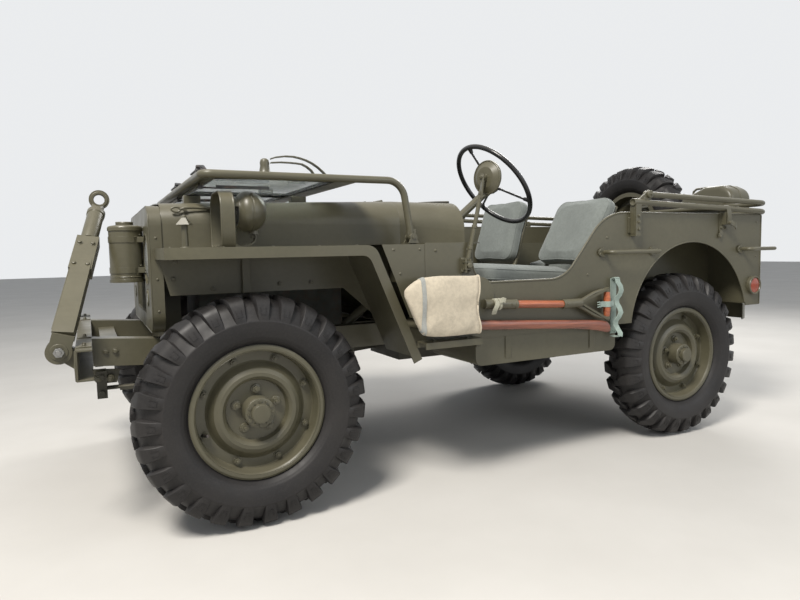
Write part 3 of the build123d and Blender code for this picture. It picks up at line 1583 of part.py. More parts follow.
bucket_inner_y = tool_y + axe_half_width + part_gap
bucket_outer_y = bucket_inner_y + 52.0
bucket_low = 572.0
bucket_high = 786.0
bucket_front_x = front_axle_x - 486.0
bucket_rear_x = front_axle_x - 789.0
with BuildPart() as bucket:
    with BuildSketch(side_plane(bucket_outer_y)):
        with BuildLine():
            Polyline(
                (bucket_front_x, bucket_high - 56),
                (bucket_front_x - 67, bucket_high),
                (bucket_rear_x, bucket_high),
                (bucket_rear_x, bucket_low),
                (bucket_front_x - 126, bucket_low),
                close=True,
            )
        make_face()
    extrude(amount=bucket_outer_y - bucket_inner_y)
save(bucket.part, "bucket")

# Rear bumperettes at the ends of the rails, and the pintle hook between them
bumperette_low = 486.0
bumperette_height = 84.0
bumperette_x = body_rear_x - 104.0
hook_z = 536.0
hook_y_half = 18.0
hook_radius = 50.0
hook_end_x = body_rear_x - 241.0
shank_radius = 26.0
with BuildPart() as rear_bumpers:
    for side in (1, -1):
        with BuildSketch(Plane.XY.offset(bumperette_low)):
            with BuildLine():
                Polyline(
                    (rail_rear_x - part_gap, side * 318),
                    (bumperette_x, side * 318),
                    (bumperette_x, side * 580),
                    (bumperette_x + 66, side * 612),
                    (bumperette_x + 66, side * 606),
                    (bumperette_x + 6, side * 575),
                    (bumperette_x + 6, side * 362),
                    (rail_rear_x - part_gap, side * 362),
                    close=True,
                )
            make_face()
        extrude(amount=bumperette_height)
    hook_plate_x = front_axle_x - 2510.0 - part_gap
    with BuildSketch(Plane.YZ.offset(hook_plate_x)):
        with Locations((0, hook_z)):
            Rectangle(150, 62)
    extrude(amount=-14)
    with BuildSketch(Plane.YZ.offset(hook_plate_x)):
        with Locations((0, hook_z)):
            Circle(shank_radius)
    extrude(amount=hook_end_x + 2 * hook_radius - 4 - hook_plate_x)
    with BuildSketch(side_plane(hook_y_half)):
        with Locations((hook_end_x + hook_radius, hook_z)):
            Circle(hook_radius)
            Circle(hook_radius - 26, mode=Mode.SUBTRACT)
    extrude(amount=2 * hook_y_half)
save(rear_bumpers.part, "rear_bumpers")

# Reflectors on the sides and lamps on the rear panel
reflector_radius = 45.0
reflector_x = front_axle_x - 2487.0
reflector_z = 676.0
tail_lamp_radius = 36.0
tail_lamp_y = body_half_width - 83.0
tail_lamp_z = 760.0
with BuildPart() as rear_lamps:
    for side in (1, -1):
        with BuildSketch(outward_plane(reflector_x, side * plate_y, reflector_z)):
            Circle(reflector_radius)
        extrude(amount=14)
        with BuildSketch(Plane.YZ.offset(body_rear_x - part_gap)):
            with Locations((side * tail_lamp_y, tail_lamp_z)):
                Circle(tail_lamp_radius)
        extrude(amount=-52)
save(rear_lamps.part, "rear_lamps")

# Levers on the floor and pedals on the toe board
lever_table = [
    # place behind the front axle, side, height of the knob, lean to the rear
    (880, 0, 905, 130),
    (950, -80, 800, 40),
    (950, -112, 800, 40),
]
pedal_table = [
    # side, width of the pad, length of the pad
    (372, 58, 70),
    (226, 58, 70),
    (158, 34, 90),
]
lever_radius = 8.0
knob_radius = 18.0
toe_slope = atan2(toe_top + sheet - floor_top, hood_rear_x - toe_foot_x)
toe_normal = Vector(-sin(toe_slope), 0, cos(toe_slope))
pedal_foot = Vector(toe_foot_x - sheet, 0, floor_top) + Vector(cos(toe_slope), 0, sin(toe_slope)) * 120
with BuildPart() as controls:
    for behind, y, knob_z, lean in lever_table:
        foot = Vector(front_axle_x - behind, y, floor_top + part_gap + 4)
        knob = Vector(front_axle_x - behind - lean, y, knob_z)
        with BuildSketch(Plane.XY.offset(floor_top + part_gap)):
            with Locations((foot.X, y)):
                Circle(15)
        extrude(amount=24)
        with BuildSketch(between(tuple(foot), tuple(knob), (0, 1, 0))):
            Circle(lever_radius)
        extrude(amount=(knob - foot).length)
        with Locations(tuple(knob)):
            Sphere(knob_radius)
    for y, pad_width, pad_length in pedal_table:
        board = Plane(origin=pedal_foot + Vector(0, y, 0), x_dir=(0, 1, 0), z_dir=toe_normal)
        with BuildSketch(board.offset(part_gap)):
            Circle(14)
        extrude(amount=10)
        with BuildSketch(board.offset(part_gap)):
            Circle(7)
        extrude(amount=110)
        with BuildSketch(board.offset(104)):
            Rectangle(pad_width, pad_length)
        extrude(amount=12)
save(controls.part, "controls")
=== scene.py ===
import bpy
import bmesh
import json
from math import atan2, cos, pi, radians, sin, tan
from mathutils import Matrix, Vector, noise
from mathutils.bvhtree import BVHTree


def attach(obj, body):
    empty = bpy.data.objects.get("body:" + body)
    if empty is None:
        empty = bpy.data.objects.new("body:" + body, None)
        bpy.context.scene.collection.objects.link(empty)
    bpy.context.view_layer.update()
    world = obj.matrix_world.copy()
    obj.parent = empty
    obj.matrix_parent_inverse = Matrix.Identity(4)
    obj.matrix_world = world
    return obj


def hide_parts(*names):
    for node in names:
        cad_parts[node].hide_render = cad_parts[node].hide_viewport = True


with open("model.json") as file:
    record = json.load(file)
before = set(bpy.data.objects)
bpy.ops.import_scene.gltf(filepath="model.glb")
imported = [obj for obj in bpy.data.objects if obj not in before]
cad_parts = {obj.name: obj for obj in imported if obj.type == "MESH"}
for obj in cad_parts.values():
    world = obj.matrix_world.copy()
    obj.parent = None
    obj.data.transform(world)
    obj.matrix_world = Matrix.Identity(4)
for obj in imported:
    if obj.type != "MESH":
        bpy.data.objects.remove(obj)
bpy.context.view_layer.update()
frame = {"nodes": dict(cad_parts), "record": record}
scene = bpy.context.scene
MM = 0.001
LIFT = 26.0  # from the level that heights are typed from down to the ground, in millimetres
UP, AHEAD, BACK, LEFT = (0, 0, 1), (1, 0, 0), (-1, 0, 0), (0, 1, 0)
SIDES = (1, -1)  # left, right

# Camera at the photograph's viewing angle
YAW, PITCH, ROLL = radians(26.98), radians(4.565), radians(-1.129)
EYE = (1.5682, 2.6471, 0.9055)
SENSOR_WIDTH, FOCAL_LENGTH = 36.0, 27.47
look = Vector((-sin(YAW) * cos(PITCH), -cos(YAW) * cos(PITCH), -sin(PITCH)))
level = look.cross(Vector(UP)).normalized()
upright = level.cross(look)
right = cos(ROLL) * level + sin(ROLL) * upright
above = -sin(ROLL) * level + cos(ROLL) * upright
camera = bpy.data.objects.new("camera", bpy.data.cameras.new("camera"))
camera.data.sensor_width = SENSOR_WIDTH
camera.data.lens = FOCAL_LENGTH
rows = [(right[i], above[i], -look[i], EYE[i]) for i in range(3)]
camera.matrix_world = Matrix((*rows, (0, 0, 0, 1)))
scene.collection.objects.link(camera)
scene.camera = camera
scene.view_settings.view_transform = "Standard"


# Node trees of the materials and of the surroundings
class Nodes:
    """Node tree, with short calls to add nodes and fill their inputs."""

    def __init__(self, tree):
        self.tree = tree

    def fill(self, node, values):
        """Numbers, colours or other nodes' outputs for a node's inputs."""
        for key, value in values.items():
            if isinstance(value, bpy.types.NodeSocket):
                self.tree.links.new(value, node.inputs[key])
            else:
                node.inputs[key].default_value = value

    def add(self, kind, values, **settings):
        """One new node, with its inputs and its settings."""
        node = self.tree.nodes.new(kind)
        for key, value in settings.items():
            setattr(node, key, value)
        self.fill(node, values)
        return node


# Studio: pale floor, soft lights and an even surrounding light that looks white to the camera
def area_light(name, place, target, size, power, colour):
    """Square soft light at one point, turned to another."""
    data = bpy.data.lights.new(name, "AREA")
    data.size = size
    data.energy = power
    data.color = colour
    lamp = bpy.data.objects.new(name, data)
    lamp.location = place
    lamp.rotation_euler = (Vector(target) - Vector(place)).to_track_quat("-Z", "Y").to_euler()
    scene.collection.objects.link(lamp)


area_light("key", (3.4, 2.9, 5.6), (0, 0, 0.5), 1.7, 540, (1.0, 0.955, 0.89))
area_light("side", (-2.6, 5.2, 2.6), (-0.2, 0, 0.6), 3.4, 70, (0.94, 0.97, 1.0))
area_light("rear", (-4.2, -2.4, 4.2), (-0.6, 0, 0.7), 2.4, 190, (1.0, 0.98, 0.95))
world = bpy.data.worlds.new("world")
scene.world = world
world.use_nodes = True
around = Nodes(world.node_tree)
lighting = around.tree.nodes["Background"]
around.fill(lighting, {"Color": (0.88, 0.93, 1.0, 1), "Strength": 0.36})
backdrop = around.add("ShaderNodeBackground", {"Color": (0.90, 0.915, 0.93, 1), "Strength": 0.92})
rays = around.add("ShaderNodeLightPath", {}).outputs
seen = rays["Is Camera Ray"]
for kind in ("Is Glossy Ray", "Is Transmission Ray"):
    seen = around.add("ShaderNodeMath", {0: seen, 1: rays[kind]}, operation="MAXIMUM").outputs[0]
blend = around.add("ShaderNodeMixShader", {0: seen, 1: lighting.outputs[0], 2: backdrop.outputs[0]})
around.fill(around.tree.nodes["World Output"], {"Surface": blend.outputs[0]})

# Materials
mats = {}


class Material(Nodes):
    """Node tree of one material, which is kept in mats."""

    def __init__(self, name):
        mats[name] = bpy.data.materials.new(name)
        mats[name].use_nodes = True
        super().__init__(mats[name].node_tree)
        self.place = self.add("ShaderNodeTexCoord", {}).outputs["Object"]

    def set(self, **values):
        """Values or links for the shader's own inputs."""
        shader = self.tree.nodes["Principled BSDF"]
        self.fill(shader, {key.replace("_", " "): value for key, value in values.items()})

    def stretched(self, scale):
        """The object's own space, stretched along its axes."""
        return self.add("ShaderNodeMapping", {"Scale": scale, "Vector": self.place}).outputs["Vector"]

    def noise(self, scale, detail=4.0, rough=0.55, stretch=None):
        """Noise in the object's own space, about 0.5 on average."""
        place = self.stretched(stretch) if stretch else self.place
        values = {"Scale": scale, "Detail": detail, "Roughness": rough, "Vector": place}
        return self.add("ShaderNodeTexNoise", values).outputs["Fac"]

    def span(self, value, low, high, to_low=0.0, to_high=1.0):
        """A value moved from one range to another, kept inside it."""
        values = {"Value": value, "From Min": low, "From Max": high, "To Min": to_low, "To Max": to_high}
        return self.add("ShaderNodeMapRange", values).outputs["Result"]

    def maths(self, operation, first, second=0.0):
        """One sum of two values, either of which may be a number."""
        node = self.add("ShaderNodeMath", {0: first, 1: second}, operation=operation, use_clamp=True)
        return node.outputs["Value"]

    def mix(self, share, first, second):
        """Two colours mixed by a share."""
        first, second = [(*end, 1) if isinstance(end, tuple) else end for end in (first, second)]
        return self.add("ShaderNodeMix", {0: share, 6: first, 7: second}, data_type="RGBA").outputs[2]

    def facing(self):
        """The surface's direction at rest, as three outputs."""
        normal = self.add("ShaderNodeTexCoord", {}).outputs["Normal"]
        return self.add("ShaderNodeSeparateXYZ", {0: normal}).outputs

    def bump(self, layers, edge=0.0):
        """Bumps from (height, strength, distance) layers, on edges rounded to a radius."""
        under = {}
        if edge:
            under["Normal"] = self.add("ShaderNodeBevel", {"Radius": edge}, samples=4).outputs["Normal"]
        for height, strength, distance in layers:
            values = {"Strength": strength, "Distance": distance, "Height": height, **under}
            under["Normal"] = self.add("ShaderNodeBump", values).outputs["Normal"]
        self.set(**under)


DUST, DARK_METAL, RUST = (0.30, 0.27, 0.20), (0.055, 0.045, 0.038), (0.13, 0.055, 0.025)


def tone(colour, factor):
    """A colour made lighter or darker."""
    return tuple(min(1.0, part * factor) for part in colour)


def painted(name, colour, rough, dust, chips=0.0, peel=0.12):
    """Brushed and sprayed paint: cloudy tone, dust on top, chips down to dark metal."""
    paint = Material(name)
    cloud = paint.noise(2.6, 6.0)
    body = paint.mix(paint.span(cloud, 0.3, 0.7), tone(colour, 0.84), tone(colour, 1.14))
    body = paint.mix(paint.span(paint.noise(55.0, 3.0), 0.42, 0.62, 0.0, 0.22), body, tone(colour, 0.72))
    upward = paint.span(paint.facing()["Z"], 0.15, 0.9)
    settled = paint.span(paint.noise(9.0, 8.0), 0.36, 0.72, 0.1, dust)
    body = paint.mix(paint.maths("MULTIPLY", upward, settled), body, DUST)
    if chips:
        spots = paint.span(paint.noise(75.0, 2.0), 0.70, 0.74)
        patches = paint.span(cloud, 0.52, 0.66, 0.0, chips)
        body = paint.mix(paint.maths("MULTIPLY", spots, patches), body, DARK_METAL)
    gloss = paint.span(paint.noise(7.0, 7.0), 0.3, 0.7, rough - 0.07, rough + 0.11)
    paint.set(Base_Color=body, Roughness=gloss)
    paint.bump([(paint.noise(4.5, 2.0), 0.10, 0.004), (paint.noise(420.0, 2.0), peel, 0.0004)], edge=0.0016)


def rubber(name, colour, mark):
    """Tyre rubber with a dusty bloom and moulding marks."""
    skin = Material(name)
    base = skin.mix(skin.span(skin.noise(5.0, 7.0), 0.30, 0.78), tone(colour, 0.75), mark)
    base = skin.mix(skin.span(skin.noise(160.0, 3.0), 0.45, 0.7, 0.0, 0.35), base, tone(mark, 1.35))
    gloss = skin.span(skin.noise(20.0, 5.0), 0.3, 0.7, 0.42, 0.60)
    skin.set(Base_Color=base, Roughness=gloss, Specular_IOR_Level=0.32)
    skin.bump([(skin.noise(60.0, 5.0), 0.14, 0.0015), (skin.noise(520.0, 3.0), 0.22, 0.0004)])


def cloth(name, colour, pitch, sheen, rough=0.86, stain=0.25):
    """Woven canvas: crossed sets of threads, slubs, fading and stains."""
    weave = Material(name)
    facing = weave.facing()
    crossed = 0.0
    for number, axis in enumerate(((1, 0, 0), (0, 1, 0), (0, 0, 1))):
        values = {"Vector": weave.stretched(axis), "Scale": 1.0 / pitch, "Distortion": 0.4, "Detail": 1.0}
        wave = weave.add("ShaderNodeTexWave", values, wave_type="BANDS", bands_direction="DIAGONAL")
        square = weave.maths("ABSOLUTE", facing[number])
        threads = weave.maths("MULTIPLY", wave.outputs["Fac"], weave.span(square, 0.45, 0.75, 1.0, 0.0))
        crossed = weave.maths("MAXIMUM", crossed, threads)
    fade = weave.span(weave.noise(5.0, 7.0), 0.3, 0.72)
    base = weave.mix(fade, tone(colour, 0.82), tone(colour, 1.16))
    base = weave.mix(weave.span(crossed, 0.1, 0.9, 0.16, 0.0), base, tone(colour, 0.5))
    base = weave.mix(weave.span(weave.noise(75.0, 5.0, 0.7), 0.42, 0.62, 0.0, 0.45), base, tone(colour, 0.66))
    base = weave.mix(weave.span(weave.noise(3.0, 9.0, 0.65), 0.55, 0.78, 0.0, stain), base, tone(colour, 0.52))
    gloss = weave.span(fade, 0.0, 1.0, rough - 0.06, rough + 0.08)
    weave.set(Base_Color=base, Roughness=gloss, Sheen_Weight=sheen, Sheen_Roughness=0.5)
    slubs, fibres = weave.noise(11.0, 4.0), weave.noise(700.0, 2.0)
    weave.bump([(slubs, 0.28, 0.004), (crossed, 0.25, 0.0005), (fibres, 0.2, 0.0003)])


def timber(name, colour, dark):
    """Varnished ash with its grain along the car."""
    wood = Material(name)
    grain = wood.noise(70.0, 6.0, 0.6, (0.05, 1.0, 1.0))
    fine = wood.noise(420.0, 4.0, 0.6, (0.04, 1.0, 1.0))
    base = wood.mix(wood.span(grain, 0.38, 0.62), dark, colour)
    base = wood.mix(wood.span(fine, 0.45, 0.65, 0.0, 0.45), base, tone(dark, 0.6))
    base = wood.mix(wood.span(wood.noise(7.0, 6.0), 0.52, 0.7, 0.0, 0.5), base, tone(dark, 0.8))
    gloss = wood.span(grain, 0.3, 0.7, 0.24, 0.42)
    wood.set(Base_Color=base, Roughness=gloss, Coat_Weight=0.35, Coat_Roughness=0.22)
    wood.bump([(grain, 0.12, 0.0010), (fine, 0.10, 0.0004)])


def metal(name, colour, rough, rust=0.0, metallic=0.9, edge=0.0010):
    """Bare or oily metal with grime and rust in patches."""
    skin = Material(name)
    cloud = skin.span(skin.noise(12.0, 7.0), 0.35, 0.68)
    base = skin.mix(cloud, tone(colour, 0.75), tone(colour, 1.15))
    if rust:
        base = skin.mix(skin.span(skin.noise(30.0, 9.0, 0.7), 0.48, 0.62, 0.0, rust), base, RUST)
    gloss = skin.span(skin.noise(26.0, 6.0), 0.3, 0.7, rough - 0.08, rough + 0.14)
    skin.set(Base_Color=base, Roughness=gloss, Metallic=metallic)
    skin.bump([(skin.noise(130.0, 5.0), 0.18, 0.0006)], edge)


def clear(name, colour, rough, transmission, coat=0.3):
    """Glass or coloured lens with faint dust and smears."""
    pane = Material(name)
    smear = pane.span(pane.noise(16.0, 8.0), 0.42, 0.72)
    gloss = pane.span(smear, 0.0, 1.0, rough, rough + 0.16)
    pane.set(Base_Color=pane.mix(smear, colour, tone(colour, 0.86)), Roughness=gloss)
    pane.set(Transmission_Weight=transmission, IOR=1.45, Coat_Weight=coat, Coat_Roughness=0.05)
    pane.bump([(pane.noise(9.0, 2.0), 0.04, 0.001)])


# The frame's slots
painted("olive_paint", (0.084, 0.078, 0.049), 0.36, 0.20, chips=0.35)
painted("chassis_paint", (0.055, 0.052, 0.038), 0.62, 0.55, peel=0.3)
rubber("tyre_rubber", (0.0135, 0.0128, 0.0135), (0.024, 0.022, 0.021))
metal("cast_iron", (0.085, 0.09, 0.08), 0.62, 0.25, 0.4)
metal("rusty_steel", (0.11, 0.075, 0.055), 0.74, 0.8, 0.45)
clear("glass", (0.86, 0.92, 0.90), 0.03, 0.95)
painted("black_plastic", (0.012, 0.012, 0.013), 0.22, 0.10, peel=0.05)
cloth("seat_canvas", (0.205, 0.226, 0.212), 0.0016, 0.2)
cloth("pale_canvas", (0.56, 0.495, 0.385), 0.0014, 0.1, 0.92, 0.3)
timber("varnished_wood", (0.46, 0.13, 0.045), (0.24, 0.060, 0.025))
# Looks of single pieces
metal("bare_steel", (0.34, 0.34, 0.33), 0.34, 0.12)
metal("dark_steel", (0.10, 0.10, 0.10), 0.42, 0.35)
cloth("webbing", (0.30, 0.375, 0.335), 0.0018, 0.1, 0.85, 0.3)
painted("inner_dark", (0.030, 0.028, 0.022), 0.75, 0.5, peel=0.3)
clear("amber_glass", (0.36, 0.060, 0.026), 0.10, 0.2, 0.7)
metal("mirror_glass", (0.82, 0.84, 0.84), 0.05, 0.0, 1.0, 0)
painted("dial_white", (0.62, 0.60, 0.50), 0.5, 0.1)
timber("axe_wood", (0.30, 0.095, 0.05), (0.14, 0.042, 0.025))
cloth("band_grey", (0.34, 0.35, 0.33), 0.0014, 0.1, 0.8, 0.3)
cloth("strap_pale", (0.42, 0.41, 0.32), 0.0016, 0.15, 0.9, 0.3)
clear("dark_glass", (0.04, 0.04, 0.045), 0.12, 0.0, 0.5)
clear("lens_glass", (0.72, 0.76, 0.76), 0.08, 0.55, 0.5)

slot_of = {row["node"]: row["material_slot"] for row in frame["record"]["subparts"]}
for label, node in frame["nodes"].items():
    for place in node.material_slots:
        place.material = mats[slot_of[label]]

FLOOR_HALF = 30
floor_mesh = bpy.data.meshes.new("floor")
corners = [(x * FLOOR_HALF, y * FLOOR_HALF, 0) for x, y in ((-1, -1), (1, -1), (1, 1), (-1, 1))]
floor_mesh.from_pydata(corners, [], [(0, 1, 2, 3)])
floor = bpy.data.objects.new("floor", floor_mesh)
scene.collection.objects.link(floor)
pale = Material("floor")
cloud = pale.span(pale.noise(1.4, 8.0), 0.3, 0.7)
pale.set(Base_Color=pale.mix(cloud, (0.57, 0.555, 0.525), (0.63, 0.615, 0.585)), Roughness=0.85)
floor_mesh.materials.append(mats["floor"])


# Mesh making: forms are added in millimetres, and one piece may hold many
def across(axis):
    """Two directions square to an axis and to each other."""
    axis = Vector(axis).normalized()
    other = Vector(UP) if abs(axis.z) < 0.9 else Vector(AHEAD)
    a = axis.cross(other).normalized()
    return a, axis.cross(a)


def turns(count, start=0.0):
    """Angles of one full turn in equal steps."""
    return [start + 2 * pi * i / count for i in range(count)]


def circle(centre, directions, radius, sides, start=0.0):
    """Points of a circle in the plane of two directions."""
    a, b = directions
    return [centre + (a * cos(t) + b * sin(t)) * radius for t in turns(sides, start)]


def on(side, path):
    """Places given for the left side, put on the side asked for."""
    return [(x, side * y, z) for x, y, z in path]


WASHER, CHAMFER, HEAD_TURN = 1.4, 0.8, 0.3
ROUNDED_ABOVE = radians(35)


class Form:
    """Points and faces of one piece, in millimetres; heights count from LIFT above the ground."""

    def __init__(self):
        self.points = []
        self.faces = []

    def loops(self, rings, caps=True):
        """Skin over closed rings of as many points each."""
        start, count = len(self.points), len(rings[0])
        for ring in range(len(rings) - 1):
            low, high = start + ring * count, start + (ring + 1) * count
            for i in range(count):
                j = (i + 1) % count
                self.faces.append((low + i, low + j, high + j, high + i))
        if caps:
            self.faces.append(tuple(start + i for i in reversed(range(count))))
            self.faces.append(tuple(start + (len(rings) - 1) * count + i for i in range(count)))
        self.points += [Vector(p) for ring in rings for p in ring]

    def rod(self, start, end, radius, end_radius=None, sides=12, turn=0.0):
        """Round or many-sided rod or cone between two points."""
        start, end = Vector(start), Vector(end)
        plane = across(end - start)
        end_radius = radius if end_radius is None else end_radius
        self.loops([circle(start, plane, radius, sides, turn), circle(end, plane, end_radius, sides, turn)])

    def turned(self, centre, axis, profile, sides=24, caps=True):
        """Profile of (distance along the axis, radius) turned about it."""
        centre, axis = Vector(centre), Vector(axis).normalized()
        plane = across(axis)
        self.loops([circle(centre + axis * along, plane, r, sides) for along, r in profile], caps)

    def bolts(self, places, axis, size=7.0, height=5.0, washer=WASHER):
        """Hexagon heads on their washers, standing on a surface."""
        axis = Vector(axis).normalized()
        for place in places:
            place = Vector(place)
            if washer:
                self.rod(place, place + axis * washer, size * 1.45, size * 1.4, 14)
                place = place + axis * washer
            shoulder = place + axis * (height - CHAMFER)
            self.rod(place, shoulder, size, size, 6, HEAD_TURN)
            self.rod(shoulder, place + axis * height, size * 0.98, size * 0.8, 6, HEAD_TURN)

    def rivets(self, places, axis, radius=5.0):
        """Round rivet heads."""
        profile = ((0, 1), (0.22, 0.9), (0.42, 0.62), (0.52, 0.25))
        for place in places:
            self.turned(place, axis, [(radius * along, radius * r) for along, r in profile], 10)

    def tube(self, path, radius, sides=10, flat=None, side=None):
        """Tube along a path; flat gives a strap's half thickness and side its wide direction."""
        path = [Vector(p) for p in path]
        rings = []
        for i, centre in enumerate(path):
            along = (path[min(i + 1, len(path) - 1)] - path[max(i - 1, 0)]).normalized()
            if side is None:
                if i == 0:
                    a, b = across(along)
                else:
                    a = (a - along * a.dot(along)).normalized()
                    b = along.cross(a)
                rings.append(circle(centre, (a, b), radius, sides))
            else:
                a = (Vector(side) - along * Vector(side).dot(along)).normalized()
                b = along.cross(a)
                corners = ((1, 1), (-1, 1), (-1, -1), (1, -1))
                rings.append([centre + a * u * radius + b * v * flat for u, v in corners])
        self.loops(rings)

    def block(self, *corners):
        """Upright block between two opposite corners."""
        (x0, x1), (y0, y1), (z0, z1) = (sorted(pair) for pair in zip(*corners))
        self.loops([[(x0, y0, z), (x1, y0, z), (x1, y1, z), (x0, y1, z)] for z in (z0, z1)])

    def plate(self, outline, normal, thickness):
        """Flat outline made thick along its normal."""
        shift = Vector(normal).normalized() * thickness
        low = [Vector(p) for p in outline]
        self.loops([low, [p + shift for p in low]])

    def piece(self, name, slot="olive_paint", material=None, body="chassis", **finish):
        """The finished Blender object, riding on its body."""
        mesh = bpy.data.meshes.new(name)
        mesh.from_pydata([(p.x * MM, p.y * MM, (p.z + LIFT) * MM) for p in self.points], [], self.faces)
        work = bmesh.new()
        work.from_mesh(mesh)
        bmesh.ops.recalc_face_normals(work, faces=work.faces)
        work.to_mesh(mesh)
        work.free()
        mesh.materials.append(mats[material or slot])
        return ready(mesh, name, body, slot, **finish)


def ready(mesh, name, body, slot, smooth=30.0, soften=0.0, replaces=()):
    """One mesh as a piece: shading, rounded edges, body and the nodes that it stands for, which it hides; slot
    is not used.
    """
    mesh.shade_smooth()
    if smooth < 180:
        mesh.set_sharp_from_angle(angle=radians(smooth))
    piece = bpy.data.objects.new(name, mesh)
    scene.collection.objects.link(piece)
    if soften:
        bevel = piece.modifiers.new("rounding", "BEVEL")
        bevel.width = soften * MM
        bevel.segments = 2
        bevel.limit_method = "ANGLE"
        bevel.angle_limit = ROUNDED_ABOVE
    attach(piece, body)
    if replaces:
        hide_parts(*replaces)
    return piece


def rounded(points, radii, step=8.0):
    """Path through corners in a plane, each cut by an arc of its radius."""
    points = [Vector(p) for p in points]
    path = [points[0]]
    for before, corner, after, radius in zip(points, points[1:], points[2:], radii):
        a, b = (before - corner).normalized(), (after - corner).normalized()
        half = a.angle(b) / 2
        cut = radius / tan(half)
        centre = corner + (a + b).normalized() * (radius / sin(half))
        first, last = corner + a * cut - centre, corner + b * cut - centre
        count = max(3, int(radius * first.angle(last) / step))
        path += [centre + first.slerp(last, k / count).normalized() * first.length for k in range(count + 1)]
    return path + [points[-1]]


# Tyres: carcass with its rings, and shoulder lugs that alternate from side to side
TYRE_R = 388.0
TYRE_SIDES = 108
LUGS = 27
carcass = [
    # side, radius, up to the tread's middle
    (56, 207), (56.5, 226.5), (61, 229.5), (66, 233), (72, 238.5), (76.5, 242.5),
    (78, 246.5), (80, 248), (82.5, 254), (86.5, 266), (89.4, 278), (91, 290),
    (91.2, 298), (91.6, 300.5), (91.2, 304.5), (87.6, 308.5), (80.5, 318), (73, 331),
    (65.5, 344), (57, 354), (47, 360.5), (34, 366), (18, 370.5), (0, 372.5),
]
lug_rows = [
    # side, radius, half width at the top and at the foot, twist, and the foot's side and radius
    (-8, 387, 13, 16, 0.5, -8, 366),
    (14, 387.6, 15, 18, 0.34, 14, 366),
    (36, 384.4, 24, 28, 0.06, 33, 362),
    (58, 378.4, 26, 31, 0, 50, 354),
    (70, 372.8, 26, 31, 0, 54, 348),
    (78, 358, 25, 30, 0, 59, 341),
    (85, 340, 23.5, 28, 0, 66, 328),
    (89.4, 319, 22, 26, 0, 75, 314),
    (90.9, 305, 21, 23, 0, 82, 303),
]
# ribs on the flank between two lugs: outer radius, and the ends across the rib
ribs = ((347, -11, -8.6), (347, 8.6, 11), (327, -9, 9))
RIB_FOOT, RIB_LIFT = 324, 1.6


def tyre_form(centre, axis):
    """One tyre about its axle."""
    a, b = across(axis)

    def at(side, radius, turn):
        """Place on the tyre, by its distance from the middle plane, radius and angle."""
        return centre + axis * side + (a * cos(turn) + b * sin(turn)) * radius

    form = Form()
    section = carcass + [(-side, radius) for side, radius in reversed(carcass[:-1])]
    form.turned(centre, axis, section, TYRE_SIDES, caps=False)
    form.turned(centre, axis, [section[-1], section[0]], TYRE_SIDES, caps=False)
    pitch_angle = 2 * pi / LUGS
    for count in range(2 * LUGS):
        hand, middle = (-1 if count % 2 else 1), count / 2 * pitch_angle
        rings = []
        for side, radius, top, foot, twist, foot_side, foot_radius in lug_rows:
            turn = middle + twist * pitch_angle * 0.5
            low_side = side + (foot_side - side) * 0.10
            low_radius = radius + (foot_radius - radius) * 0.10
            half = [(foot, foot_side, foot_radius), (top, low_side, low_radius), (top - 2.5, side, radius)]
            corners = half + [(-width, s, r) for width, s, r in reversed(half)]
            rings.append([at(hand * s, r, turn + width / TYRE_R) for width, s, r in corners])
        form.loops(rings)
        for outer, left, right in ribs:
            corners = ((outer, 0), (outer, RIB_LIFT), (RIB_FOOT, RIB_LIFT), (RIB_FOOT, 0))
            flank = [(83.0 + (347 - r) * 0.24 + lift, r) for r, lift in corners]
            form.loops([[at(hand * s, r, middle + w / TYRE_R) for s, r in flank] for w in (left, right)])
    return form


wheels = [
    # name, centre, outward axis, body, whether it has a hub
    ("front_left", (1092, 622.5, 362), (0, 1, 0), "wheel_front_left", True),
    ("front_right", (1092, -622.5, 362), (0, -1, 0), "wheel_front_right", True),
    ("rear_left", (-940, 622.5, 362), (0, 1, 0), "wheel_rear_left", True),
    ("rear_right", (-940, -622.5, 362), (0, -1, 0), "wheel_rear_right", True),
    ("spare", (-1608, -212, 1001), (-1, 0, 0), "chassis", False),
]
BEAD_SIDE, BEAD_RING = 64.4, 1.4
NUT_CIRCLE, VALVE_TURN = 69.85, 0.35
for label, centre, axis, body, hub in wheels:
    centre, axis = Vector(centre), Vector(axis)
    tread = tyre_form(centre, axis)
    tread.piece(f"tread_{label}", "tyre_rubber", body=body, smooth=38, replaces=(f"tyre_{label}",))
    plane = across(axis)
    trim = Form()
    for spot in circle(centre, plane, 180, 8, pi / 8):
        trim.rod(spot + axis * 8, spot + axis * 10.5, 15, 14.4, 20)
        trim.rod(spot + axis * 19, spot + axis * 27, 5.2, 4.6, 12)
    for spot in circle(centre, plane, NUT_CIRCLE, 5, -pi / 2):
        trim.rod(spot + axis * 28, spot + axis * 35, 6.6, 5.8, 12)
        trim.turned(spot, axis, [(14, 17.5), (18, 16.6), (19.4, 14.0)], 20)
    for radius in (205.5, 213.5):
        bead = [(BEAD_SIDE + BEAD_RING * cos(q), radius + BEAD_RING * sin(q)) for q in (*turns(4), 0)]
        trim.turned(centre, axis, bead, 72, caps=False)
    if hub:
        trim.turned(centre, axis, [(67, 49.5), (70, 48.0), (71.5, 44.0)], 40)
        trim.turned(centre, axis, [(86, 31.5), (89.5, 29.0), (90.5, 22.0), (90.0, 0.5)], 32)
        for spot in circle(centre, plane, 40, 6):
            trim.rod(spot + axis * 74, spot + axis * 77, 3.4, 3.0, 10)
    trim.piece(f"wheel_trim_{label}", body=body, smooth=35)
    stem = Form()
    stations = ((7, 187), (30, 178), (40, 174.5))
    foot, neck, tip = [circle(centre + axis * out, plane, r, 1, VALVE_TURN)[0] for out, r in stations]
    stem.rod(foot, neck, 5.2, 4.0)
    stem.rod(neck, tip, 5.0, 4.6)
    stem.piece(f"valve_{label}", "tyre_rubber", "dark_steel", body)

